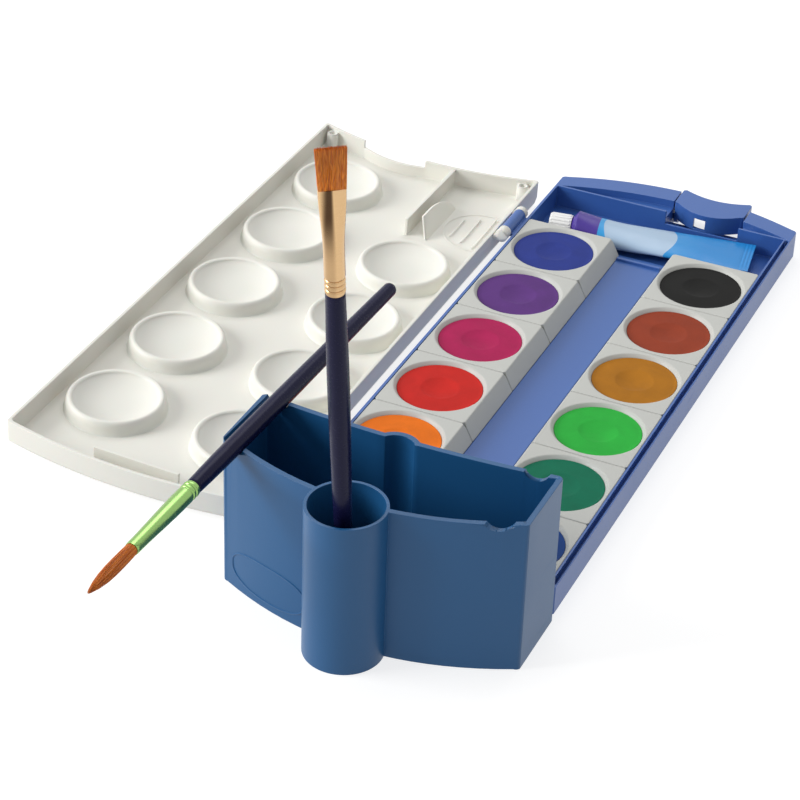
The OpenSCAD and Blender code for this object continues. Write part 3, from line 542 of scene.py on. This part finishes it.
def moulded_copy(name: str, node: str, body: str, material: Material,
                 rounding: Rounding | None = None, shape_first: Callable[[Shape], None] | None = None) -> None:
    """Make a piece from a node's solid, with even shading, that stands for the node.

    Args:
        name: The piece's name.
        node: The node that it stands for.
        body: The body that it rides on.
        material: Its finish.
        rounding: How its edges are rounded, or None for edges left as they are.
        shape_first: Changes the shape before its edges are rounded.
    """
    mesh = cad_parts[node].data.copy()
    mesh.name = name
    solid = bmesh.new()
    solid.from_mesh(mesh)
    bmesh.ops.remove_doubles(solid, verts=solid.verts, dist=SAME_PLACE)
    bmesh.ops.dissolve_limit(solid, angle_limit=FLAT_WITHIN, verts=solid.verts, edges=solid.edges)
    source = BVHTree.FromBMesh(solid)
    if shape_first:
        shape_first(solid)
    hard = [edge for edge in solid.edges if rounding.takes(edge)] if rounding else []
    if rounding is None or rounding.broad_faces:
        bmesh.ops.triangulate(solid, faces=solid.faces)
    if hard:
        round_edges(solid, hard, rounding.width, rounding.steps)
    bmesh.ops.triangulate(solid, faces=[face for face in solid.faces if len(face.verts) > 4])
    drop_turned_slivers(solid, source)
    solid.to_mesh(mesh)
    solid.free()
    finished(name, mesh, body, material, [node])


def finished(name: str, mesh: Mesh, body: str, material: Material,
             nodes: Iterable[str] = (), sharp: float = 40.0) -> None:
    """Turn a mesh into a piece of the set.

    Args:
        name: The piece's name.
        mesh: Its mesh, in place.
        body: The body that it rides on.
        material: Its finish.
        nodes: The nodes that it stands for.
        sharp: Angle in degrees above which an edge is shaded as an edge.
    """
    mesh.materials.clear()
    mesh.materials.append(material)
    for face in mesh.polygons:
        face.use_smooth = True
        face.material_index = 0
    mesh.set_sharp_from_angle(angle=radians(sharp))
    piece = linked(name, mesh)
    weight = piece.modifiers.new("even_shading", "WEIGHTED_NORMAL")
    weight.keep_sharp, weight.weight = True, 60
    settle(piece)
    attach(piece, body)
    if nodes:
        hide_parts(*nodes)
    LOG.info("%s: %d faces, rides on %s", name, len(piece.data.polygons), body)


def settle(piece: bpy.types.Object) -> None:
    """Bake a piece's modifiers into its mesh and take them off."""
    ready = piece.evaluated_get(bpy.context.evaluated_depsgraph_get())
    mesh = bpy.data.meshes.new_from_object(ready)
    mesh.name = piece.data.name
    piece.modifiers.clear()
    piece.data = mesh


class StrandLayout(Enum):
    """How a brush's strands are set in their ferrule."""

    ROWS = "rows"
    SPIRAL = "spiral"


@dataclass(frozen=True)
class Bristles:
    """A tuft of hair, drawn along +Z from its ferrule with Geometry Nodes."""

    name: str
    layout: StrandLayout
    width: float
    thickness: float
    length: float
    count: int
    rows: int
    strand: float
    profile: tuple[Pair, ...]
    seed: int
    lean: float = 0.014
    shortest: float = 0.955
    shake: float = 0.09 * MM
    spread: float = 0.15

    def tree(self, material: Material) -> bpy.types.NodeTree:
        """Build the tree that sets, shapes and joins the strands, of a hair's material."""
        graph = Graph(bpy.data.node_groups.new(self.name + "_tuft", "GeometryNodeTree"))
        sockets = graph.tree.interface
        sockets.new_socket(name="Geometry", in_out="OUTPUT", socket_type="NodeSocketGeometry")
        for label, value in self.values().items():
            kind = "NodeSocketInt" if isinstance(value, int) else "NodeSocketFloat"
            sockets.new_socket(name=label, in_out="INPUT", socket_type=kind)
        given = graph.wires("NodeGroupInput")
        root = graph.wire("GeometryNodeMeshCone", {
            "Vertices": 4, "Side Segments": 6, "Radius Top": given["Strand"] * 0.35,
            "Radius Bottom": given["Strand"], "Depth": given["Length"]}, "Mesh")
        spots = self.spots(graph, given)
        lean = graph.wire("FunctionNodeRandomValue", {
            0: (-self.lean, -self.lean, 0.0), 1: (self.lean, self.lean, 6.28), "Seed": given["Seed"]},
            data_type="FLOAT_VECTOR")
        reach = graph.wire("FunctionNodeRandomValue", {2: self.shortest, 3: 1.0, "Seed": given["Seed"] + 7.0}, 1,
                           data_type="FLOAT")
        size = graph.wire("ShaderNodeCombineXYZ", {0: 1.0, 1: 1.0, 2: reach})
        strands = graph.wire("GeometryNodeInstanceOnPoints", {
            "Points": spots, "Instance": root, "Rotation": lean, "Scale": size})
        whole = graph.wire("GeometryNodeRealizeInstances", {0: strands})
        axes = graph.wires("ShaderNodeSeparateXYZ", {0: graph.wire("GeometryNodeInputPosition")})
        height = graph.calc("DIVIDE", axes["Z"], given["Length"])
        curve = graph.put("ShaderNodeFloatCurve", {"Value": height})
        self.draw_profile(curve)
        thick = Wire(graph, curve.outputs[0])
        wide = height * self.spread + 1.0 if self.layout is StrandLayout.ROWS else thick
        shaped = graph.wire("ShaderNodeCombineXYZ", {0: axes["X"] * wide, 1: axes["Y"] * thick, 2: axes["Z"]})
        tuft = graph.wire("GeometryNodeSetPosition", {"Geometry": whole, "Position": shaped})
        graph.put("NodeGroupOutput", {
            0: graph.wire("GeometryNodeSetMaterial", {"Geometry": tuft, "Material": material})})
        return graph.tree

    def values(self) -> dict[str, float | int]:
        """Return the value of each of the tree's inputs, by name."""
        return {"Width": self.width, "Thickness": self.thickness, "Length": self.length, "Count": self.count,
                "Rows": self.rows, "Strand": self.strand, "Seed": self.seed}

    def spots(self, graph: Graph, given: dict[str, Wire]) -> Wire:
        """Add the points that the strands stand on, in rows or in a spiral."""
        if self.layout is StrandLayout.ROWS:
            grid = graph.wire("GeometryNodeMeshGrid", {
                "Size X": given["Width"], "Size Y": given["Thickness"],
                "Vertices X": given["Count"], "Vertices Y": given["Rows"]}, "Mesh")
            shake = graph.wire("FunctionNodeRandomValue", {
                0: (-self.shake, -self.shake, 0.0), 1: (self.shake, self.shake, 0.0), "Seed": given["Seed"]},
                data_type="FLOAT_VECTOR")
            return graph.wire("GeometryNodeSetPosition", {"Geometry": grid, "Offset": shake})
        number = graph.wire("GeometryNodeInputIndex")
        share = graph.calc("DIVIDE", number + 0.5, given["Count"])
        radius = given["Width"] * 0.5 * graph.calc("SQRT", share)
        angle = number * GOLDEN_ANGLE
        place = graph.wire("ShaderNodeCombineXYZ", {
            0: radius * graph.calc("COSINE", angle), 1: radius * graph.calc("SINE", angle)})
        return graph.wire("GeometryNodePoints", {"Count": given["Count"], "Position": place})

    def draw_profile(self, curve: Node) -> None:
        """Give the curve node the tuft's thickness at each share of its length, its two ends first."""
        points = curve.mapping.curves[0].points
        for point, ends in zip(points, self.profile):
            point.location = ends
        for share, size in self.profile[2:]:
            points.new(share, size)
        curve.mapping.update()

    def build(self, place: Matrix, material: Material) -> Mesh:
        """Make the tuft's mesh in its place.

        Args:
            place: Where the ferrule's mouth is and where the tuft points.
            material: The hair's finish.

        Returns:
            A plain mesh.
        """
        holder = linked(self.name + "_source", bpy.data.meshes.new(self.name + "_source"))
        grow = holder.modifiers.new("grow", "NODES")
        grow.node_group = self.tree(material)
        values = self.values()
        for item in grow.node_group.interface.items_tree:
            if item.item_type == "SOCKET" and item.in_out == "INPUT":
                grow[item.identifier] = values[item.name]
        settle(holder)
        mesh = holder.data
        bpy.data.objects.remove(holder)
        mesh.transform(place)
        return mesh


@dataclass(frozen=True)
class PaintCake:
    """A cake of paint: a low dome with a dimple and the soft swirls of a wet brush."""

    node: str
    body: str
    finish: Gouache
    radius: float = 14.98 * MM
    edge_drop: float = 0.35 * MM
    dimple: float = 6.9 * MM
    dimple_depth: float = 0.9 * MM
    lip: float = 0.25 * MM
    swirl: float = 0.03 * MM
    ripple: float = 0.04 * MM
    below_top: float = 0.36 * MM
    rings: int = 30
    sides: int = 96

    def height(self, radius: float, angle: float, seed: float) -> float:
        """Height of the cake's top above the foot of its dome at a place.

        Args:
            radius: Distance from the middle.
            angle: Direction from the middle, in radians.
            seed: Makes each cake's swirls its own.

        Returns:
            The height in metres.
        """
        share = radius / self.radius
        inward = max(0.0, 1 - (radius / self.dimple) ** 2)
        hollow = -self.dimple_depth * inward * min(1.0, 0.4 + 3 * inward)
        lip = self.lip * exp(-((share - 0.985) / 0.02) ** 2)
        swirl = self.swirl * sin(3 * angle + 9 * share + seed) * share * (1 - share) * 4
        place = Vector((radius * cos(angle) * 180, radius * sin(angle) * 180, seed))
        return hollow + lip + swirl + self.ripple * noise.noise(place) + self.edge_drop * (1 - share * share)

    def build(self) -> None:
        """Make the cake over its node."""
        low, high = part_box(self.node)
        seed = float(sum(map(ord, self.node)) % 97)
        middle = (low + high) / 2
        shape = bmesh.new()
        rows = []
        for ring in range(self.rings + 1):
            radius = self.radius * (1 - ring / self.rings)
            rows.append([shape.verts.new((
                middle.x + radius * cos(a), middle.y + radius * sin(a),
                min(high.z, high.z - self.below_top + self.height(radius, a, seed))))
                for a in (circle(self.sides) if ring < self.rings else [0.0])])
        foot = [shape.verts.new((vert.co.x, vert.co.y, low.z)) for vert in rows[0]]
        shape.faces.new(list(reversed(foot)))
        mesh = closed_mesh(shape, [foot] + rows, self.node + "_cake")
        finished(self.node + "_cake", mesh, self.body, self.finish.material(), [self.node])


@dataclass(frozen=True)
class Tray:
    """The blue tray with its latch."""

    rounding: Rounding = Rounding(0.12 * MM)

    def build(self) -> None:
        """Make the tray and the latch."""
        blue = TRAY_BLUE.material()
        moulded_copy("tray_moulding", "base_tray", "tray", blue, self.rounding)
        moulded_copy("latch_moulding", "latch", "latch", blue, self.rounding)


@dataclass(frozen=True)
class Pans:
    """The twelve pans and the paint in them."""

    rounding: Rounding = Rounding(0.35 * MM, 3, broad_faces=False)

    def build(self) -> None:
        """Make each pan and its cake."""
        grey = PAN_GREY.material()
        for number, (colour_name, colour) in enumerate(PAINTS):
            pan = f"pan_{'left' if number < 6 else 'right'}_{number % 6 + 1}"
            moulded_copy(pan + "_moulding", pan, pan, grey, self.rounding)
            PaintCake("paint_" + colour_name, pan, Gouache("gouache_" + colour_name, colour)).build()


@dataclass(frozen=True)
class Lid:
    """The white lid with its nine mixing wells."""

    rounding: Rounding = Rounding(0.25 * MM)
    wells: tuple[str, ...] = tuple(f"well_a{i}" for i in range(1, 6)) + tuple(f"well_b{i}" for i in range(1, 5))
    hinge: Pair = (-51.6 * MM, 10.8 * MM)
    rise: float = radians(2.1)
    depth: float = 9.0 * MM
    underside_round: float = 2.0 * MM
    round_up_to: float = 95 * MM
    well_foot: float = 18.1 * MM
    well_swell: float = 17.5 * MM
    well_crest: float = 15.9 * MM
    well_opening: float = 14.7 * MM
    swell_height: float = 3.2 * MM
    well_edge: float = 0.9 * MM
    well_floor: float = 0.75 * MM
    well_sides: int = 96

    def round_underside(self, solid: Shape) -> None:
        """Round the long soft edge that runs under the lid's walls, up to its far end.

        Args:
            solid: The lid's shape, changed in place.
        """
        def below(vert: bmesh.types.BMVert) -> bool:
            across, up = vert.co.x - self.hinge[0], vert.co.z - self.hinge[1]
            return across * sin(self.rise) + up * cos(self.rise) < ON_SURFACE - self.depth

        edges = [edge for edge in solid.edges if all(below(vert) for vert in edge.verts)
                 and edge.calc_face_angle(0) > 1.0 and sum(v.co.y for v in edge.verts) / 2 < self.round_up_to]
        round_edges(solid, edges, self.underside_round, 6)

    def build(self) -> None:
        """Make the lid and its wells."""
        white = LID_WHITE.material()
        moulded_copy("lid_moulding", "lid_tray", "lid", white, self.rounding, self.round_underside)
        for well in self.wells:
            finished(well + "_moulding", self.well(well), "lid", white, [well], sharp=60)

    def well_profile(self, top: float) -> list[Pair]:
        """Return the radius and height of a well's skin, from under its middle round to its bowl's middle.

        Args:
            top: Half of the well's height.
        """
        foot, crest, opening, edge = self.well_foot, self.well_crest, self.well_opening, self.well_edge
        profile = [(0.0, -top), (foot, -top), (foot - 0.25 * MM, -top + 0.25 * MM), (foot - 0.45 * MM, -top + 0.9 * MM)]
        for angle in (radians(9 * i) for i in range(11)):
            profile.append((crest + (self.well_swell - crest) * cos(angle),
                            top - self.swell_height + self.swell_height * sin(angle)))
        for angle in (radians(18 * i) for i in range(1, 6)):
            profile.append((crest - (crest - opening) * sin(angle), top - edge * (1 - cos(angle))))
        deep = -top + self.well_floor
        for radius in (opening * (1 - i / 16) for i in range(1, 17)):
            profile.append((radius, deep + (top - edge - deep) * (radius / opening) ** 3.0))
        return profile

    def well(self, node: str) -> Mesh:
        """Make a mixing well: a swollen rim round a deep bowl.

        Args:
            node: The node that it stands for.

        Returns:
            The well's mesh, in place.
        """
        low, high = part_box(node)
        top = (high.z - low.z - (high.x - low.x) * sin(self.rise)) / 2
        shape = bmesh.new()
        rings = [[shape.verts.new((radius * cos(a), radius * sin(a), height))
                  for a in (circle(self.well_sides) if radius > 1e-9 else [0.0])]
                 for radius, height in self.well_profile(top)]
        mesh = closed_mesh(shape, rings, node + "_skin")
        mesh.transform(Matrix.Translation((low + high) / 2) @ Matrix.Rotation(self.rise, 4, "Y"))
        return mesh


@dataclass(frozen=True)
class PaintTube:
    """The squeezed paint tube, its folded end and its cap."""

    start: Triple = (-29.9 * MM, 95.55 * MM, 7.8 * MM)
    turn: float = radians(8.8)
    radius: float = 6 * MM
    length: float = 64 * MM
    fold_length: float = 4 * MM
    fold_width: float = 21 * MM
    fold_thickness: float = 1.2 * MM
    neck: float = 2.4 * MM
    neck_length: float = 6.4 * MM
    neck_step: float = 0.8 * MM
    shoulder: float = 2.2 * MM
    dent: float = 0.35 * MM
    band_end: float = 8.6 * MM
    patch: Pair = (24.5 * MM, 14.2 * MM)
    cap_rounding: Rounding = Rounding(0.12 * MM, 2, radians(35), 0.3 * MM, False)
    sides: int = 72
    rings: int = 60

    def ring(self, along: float, half_width: float, half_height: float, sink: float = 0.0,
             dents: float = 0.0) -> list[Vector]:
        """Points round the tube at a place along it.

        Args:
            along: Distance from the shoulder.
            half_width: Half of its width.
            half_height: Half of its height.
            sink: Height of its middle above the shoulder's middle.
            dents: How deep the soft dents may be.

        Returns:
            The ring, in the tube's own frame.
        """
        points = []
        for angle in circle(self.sides):
            across, up = cos(angle), sin(angle)
            dent = dents * max(0.0, noise.noise(Vector((along * 90, across * 1.6, up * 1.6))))
            points.append(Vector((along, (half_width - dent) * across, sink + (half_height - dent) * up)))
        return points

    def skin(self) -> Mesh:
        """Make the neck, the shoulder, the squeezed body and the folded end."""
        rings = [self.ring(along, radius, radius) for along, radius in (
            (-self.shoulder - self.neck_length, self.neck), (-self.shoulder, self.neck),
            (-self.shoulder, self.neck + self.neck_step), (-0.25 * MM, self.radius * 0.955))]
        sunk = -self.radius * 0.27
        for share in (j / self.rings for j in range(self.rings + 1)):
            wide = self.radius + (self.fold_width / 2 - self.radius) * sin(radians(90 * share))
            high = self.radius + (self.fold_thickness / 2 - self.radius) * share ** 0.84
            sink = sunk * sin(radians(90 * min(1.0, share * 3)))
            rings.append(self.ring(self.length * share, wide, high, sink, self.dent * sin(pi * share)))
        creases = [0.16 * MM if j % 4 in (1, 2) else 0.0 for j in range(1, 12)] + [0.1 * MM]
        for j, crease in enumerate(creases, 1):
            along = self.length + self.fold_length * j / len(creases)
            rings.append(self.ring(along, self.fold_width / 2, self.fold_thickness / 2 - crease, sunk))
        mesh = loft(rings, "tube_skin")
        mesh.transform(Matrix.Translation(self.start) @ Matrix.Rotation(self.turn, 4, "Z"))
        return mesh

    def build(self) -> None:
        """Make the tube and the cap."""
        foil = PrintedFoil("printed_tube_foil", self.start, self.turn, self.band_end, *self.patch).material()
        finished("tube_skin", self.skin(), "tube", foil, ["tube_body"], sharp=50)
        moulded_copy("cap_moulding", "tube_cap", "cap", CAP_WHITE.material(), self.cap_rounding)


@dataclass(frozen=True)
class WaterCup:
    """The cup with its brush holder and a bare oval badge on its front."""

    rounding: Rounding = Rounding(0.15 * MM)
    middle_x: float = -1.4 * MM
    half_width: float = 48.8 * MM
    front_y: float = -156.35 * MM
    bow: float = 12.6 * MM
    badge_middle: Pair = (-32.6 * MM, 9.6 * MM)
    badge_half: Pair = (15.0 * MM, 6.8 * MM)
    badge_sink: float = 0.1 * MM
    bead: float = 0.36 * MM
    bead_sides: int = 8

    def front(self, x: float) -> float:
        """Place of the bowed front wall at x."""
        share = (x - self.middle_x) / self.half_width
        return self.front_y - self.bow * (1 - share * share)

    def badge_rim(self) -> Mesh:
        """Run a round bead along the badge's edge, just in the front wall."""
        line = []
        for angle in circle(96):
            x = self.badge_middle[0] + self.badge_half[0] * squared_off(cos(angle), 0.8)
            z = self.badge_middle[1] + self.badge_half[1] * squared_off(sin(angle), 0.8)
            line.append(Vector((x, self.front(x) + self.badge_sink, z)))
        shape = bmesh.new()
        rings = []
        for before, point, after in zip(line[-1:] + line, line, line[1:] + line[:1]):
            along = (after - before).normalized()
            out = along.cross(Vector((0, -1, 0))).normalized()
            up = along.cross(out)
            rings.append([shape.verts.new(point + self.bead * (out * cos(a) + up * sin(a)))
                          for a in circle(self.bead_sides)])
        return closed_mesh(shape, rings + rings[:1], "cup_badge_rim")

    def build(self) -> None:
        """Make the cup and the badge's rim."""
        blue = CUP_BLUE.material()
        moulded_copy("cup_moulding", "water_cup", "cup", blue, self.rounding)
        finished("cup_badge_rim", self.badge_rim(), "cup", blue)


@dataclass(frozen=True)
class Ferrule:
    """A metal sleeve with pressed rings, round at the handle and pressed to its own shape at the hair."""

    name: str
    start: float
    length: float
    root: float
    mouth: Pair
    flat_from: float
    rings_at: tuple[float, ...]
    pressed: float = 0.42 * MM
    pressed_reach: float = 0.35 * MM
    lip: float = 0.12 * MM
    lip_reach: float = 0.5 * MM
    sides: int = 72
    steps: int = 120

    def build(self, place: Matrix) -> Mesh:
        """Make the sleeve in its place.

        Args:
            place: Where the brush is, +Z being its own length.

        Returns:
            The sleeve's mesh.
        """
        def fade(distance: float, reach: float) -> float:
            return exp(-(distance / reach) ** 2)

        flat = self.mouth[0] > self.mouth[1] * 1.2
        rings = []
        for j in range(self.steps + 1):
            along = self.length * j / self.steps
            flattened = max(0.0, (along / self.length - self.flat_from) / (1 - self.flat_from))
            press = (1 - cos(pi * flattened)) / 2
            squeeze = sum(self.pressed * fade(along - ring, self.pressed_reach) for ring in self.rings_at)
            squeeze += self.lip * (fade(self.length - along, self.lip_reach) + fade(along, self.lip_reach))
            wide, deep = (self.root + (size / 2 - self.root) * press - squeeze for size in self.mouth)
            power = 1 - 0.35 * press if flat else 1
            rings.append([Vector((wide * squared_off(cos(a), power), deep * squared_off(sin(a), power),
                                  self.start + along)) for a in circle(self.sides)])
        mesh = loft(rings, self.name)
        mesh.transform(place)
        return mesh


@dataclass(frozen=True)
class Brush(ABC):
    """A brush: a lacquered handle, a metal sleeve and a tuft of hair."""

    kind: str
    lacquer: Lacquer
    metal: TurnedMetal
    metal_slot: str
    hair: Hair
    sleeve: Ferrule
    tuft: Bristles

    @abstractmethod
    def place(self) -> Matrix:
        """Return where the brush is, +Z being its own length."""

    def shape_handle(self, solid: Shape) -> None:
        """Change the handle's shape in place, where the brush needs it."""

    def build(self) -> None:
        """Make the handle, the ferrule and the hair."""
        body, place = self.kind + "_brush", self.place()
        moulded_copy(body + "_handle", self.kind + "_handle", body, self.lacquer.material(),
                     shape_first=self.shape_handle)
        finished(body + "_ferrule", self.sleeve.build(place), body, self.metal.material(place),
                 [self.kind + "_ferrule"])
        hair = self.hair.material()
        mouth = Matrix.Translation((0, 0, self.sleeve.start + self.sleeve.length))
        finished(body + "_hair", self.tuft.build(place @ mouth, hair), body, hair,
                 [self.kind + "_bristles"], sharp=80)


@dataclass(frozen=True)
class FlatBrush(Brush):
    """The flat brush that stands in the holder."""

    kind: str = "flat"
    lacquer: Lacquer = UPRIGHT_LACQUER
    metal: TurnedMetal = GOLD_FERRULE
    metal_slot: str = "gold_ferrule"
    hair: Hair = UPRIGHT_HAIR
    sleeve: Ferrule = Ferrule("flat_sleeve", 140.1 * MM, 35.9 * MM, 2.95 * MM, (7.7 * MM, 3.0 * MM), 0.4,
                              (1.6 * MM, 3.4 * MM, 5.2 * MM))
    tuft: Bristles = Bristles("flat_hair", StrandLayout.ROWS, 7.2 * MM, 2.3 * MM, 13.2 * MM, 46, 14, 0.125 * MM,
                              ((0.0, 1.0), (1.0, 0.6), (0.45, 0.98)), 11)
    holder: Pair = (-3 * MM, -170.45 * MM)
    from_middle: float = 5.1 * MM
    end_radius: float = 2.2 * MM
    holder_floor: float = 2.1 * MM
    lean: float = radians(11.2)
    lean_to: float = radians(-76.6)
    flat_to: float = radians(33)

    def place(self) -> Matrix:
        """Return where the brush stands, +Z being its own length and +X its flat width."""
        foot = Vector((self.holder[0] - self.from_middle * cos(self.lean_to),
                       self.holder[1] - self.from_middle * sin(self.lean_to),
                       self.holder_floor + self.end_radius * sin(self.lean)))
        aside = Matrix.Rotation(self.lean_to, 4, "Z") @ Matrix.Rotation(self.lean, 4, "Y")
        return Matrix.Translation(foot) @ aside @ Matrix.Rotation(self.flat_to - self.lean_to, 4, "Z")


@dataclass(frozen=True)
class RoundBrush(Brush):
    """The round brush that lies across the cup."""

    kind: str = "round"
    lacquer: Lacquer = LYING_LACQUER
    metal: TurnedMetal = GREEN_FERRULE
    metal_slot: str = "green_ferrule"
    hair: Hair = LYING_HAIR
    sleeve: Ferrule = Ferrule("round_sleeve", 133 * MM, 34.5 * MM, 2.8 * MM, (4.5 * MM, 4.5 * MM), 0.2,
                              (1.8 * MM, 3.6 * MM))
    tuft: Bristles = Bristles("round_hair", StrandLayout.SPIRAL, 4.1 * MM, 4.1 * MM, 23.4 * MM, 620, 1, 0.11 * MM,
                              ((0.0, 0.93), (1.0, 0.12), (0.3, 1.0), (0.62, 0.9), (0.87, 0.52)), 5)
    butt: Triple = (-44.0 * MM, -51.05 * MM, 55.5 * MM)
    turn: float = radians(-1.7)
    settled: Triple = (0.9 * MM, 0.0, -1.1 * MM)
    slim_all: float = 0.05
    slim_more: float = 0.2

    def shape_handle(self, solid: Shape) -> None:
        """Slim the handle towards its ferrule and settle it in the cup's rests.

        Args:
            solid: The handle's shape, changed in place.
        """
        own = self.place()
        back = (Matrix.Translation(self.settled).inverted() @ own).inverted()
        for vert in solid.verts:
            local = back @ vert.co
            share = 1 - self.slim_all - self.slim_more * local.z / self.sleeve.start
            vert.co = own @ Vector((local.x * share, local.y * share, local.z))

    def place(self) -> Matrix:
        """Return where the brush lies, +Z being its own length."""
        settled = Matrix.Translation(Vector(self.butt) + Vector(self.settled))
        return settled @ Matrix.Rotation(self.turn, 4, "Z") @ Matrix.Rotation(radians(90), 4, "X")


@dataclass(frozen=True)
class Studio:
    """The white floor, the soft lamps and the camera at the photograph's angle."""

    eye: Triple = (255.2, -730.3, 495.3)
    aim: Triple = (-38.7, -51.2, 10.5)
    roll: float = radians(2.084)
    lens: float = 115.93
    floor_size: float = 6
    floor_grey: float = 0.4
    lamps: tuple[tuple[str, Triple, float, float], ...] = (
        ("key_lamp", (-1.75, -1.0, 0.98), 1.1, 41), ("top_lamp", (-0.3, 0.8, 1.6), 1.2, 10))

    def build(self) -> None:
        """Make the floor, the lamps, the world and the camera."""
        self.floor()
        for name, place, size, power in self.lamps:
            self.lamp(name, place, size, power)
        self.world()
        self.camera()

    def floor(self) -> None:
        """Make a pale floor that shows white to the camera and keeps the set's shadow."""
        shape = bmesh.new()
        bmesh.ops.create_grid(shape, x_segments=4, y_segments=4, size=self.floor_size)
        floor = linked("floor", plain_mesh(shape, "floor"))
        floor.location.z = -0.05 * MM
        material = Matt("white_floor", (self.floor_grey, self.floor_grey, self.floor_grey, 1)).material()
        graph = Graph(material.node_tree)
        glow = graph.wire("ShaderNodeEmission", {"Color": WHITE, "Strength": self.seen(graph, 0.74, 0.37)})
        base = Wire(graph, graph.tree.nodes["Principled BSDF"].outputs[0])
        both = graph.wire("ShaderNodeAddShader", {0: base, 1: glow})
        graph.feed(graph.tree.nodes["Material Output"], {"Surface": both})
        floor.data.materials.append(material)

    @staticmethod
    def seen(graph: Graph, shown: float, lighting: float) -> Wire:
        """Return one strength for what is seen, also in gloss, and another for what lights the set."""
        path = graph.wires("ShaderNodeLightPath")
        looks = graph.calc("MAXIMUM", path["Is Glossy Ray"], path["Is Transmission Ray"])
        return graph.calc("MAXIMUM", path["Is Camera Ray"], looks) * (shown - lighting) + lighting

    @staticmethod
    def lamp(name: str, place: Triple, size: float, power: float) -> None:
        """Make a square soft lamp, of a side in metres and a power in watts, that faces the set."""
        data = bpy.data.lights.new(name, "AREA")
        data.shape, data.size, data.energy = "SQUARE", size, power
        lamp = linked(name, data)
        lamp.location = place
        lamp.rotation_euler = (-Vector(place)).to_track_quat("-Z", "Y").to_euler()

    def world(self) -> None:
        """Make a white surround that lights less than it shows."""
        world = bpy.data.worlds.new("surround")
        world.use_nodes = True
        graph = Graph(world.node_tree)
        graph.feed(graph.tree.nodes["Background"], {"Color": WHITE, "Strength": self.seen(graph, 1.0, 0.42)})
        bpy.context.scene.world = world

    def camera(self) -> None:
        """Make the camera."""
        data = bpy.data.cameras.new("camera")
        data.lens, data.sensor_width, data.clip_start, data.clip_end = self.lens, 36, 0.01, 50
        eye, aim = Vector(self.eye) * MM, Vector(self.aim) * MM
        ahead = (aim - eye).normalized()
        right = ahead.cross(Vector((0, 0, 1))).normalized()
        up = right.cross(ahead)
        tilted = right * cos(self.roll) + up * sin(self.roll)
        top = up * cos(self.roll) - right * sin(self.roll)
        camera = linked("camera", data)
        camera.matrix_world = Matrix.Translation(eye) @ Matrix((tilted, top, -ahead)).transposed().to_4x4()
        bpy.context.scene.camera = camera


def main() -> None:
    """Dress the whole set and light it."""
    logging.basicConfig(level=logging.INFO, format="%(name)s: %(message)s")
    bpy.context.scene.view_settings.view_transform = "Standard"
    for part in (Tray(), Pans(), Lid(), PaintTube(), WaterCup(), FlatBrush(), RoundBrush(), Studio()):
        part.build()


if __name__ == "__main__":
    main()
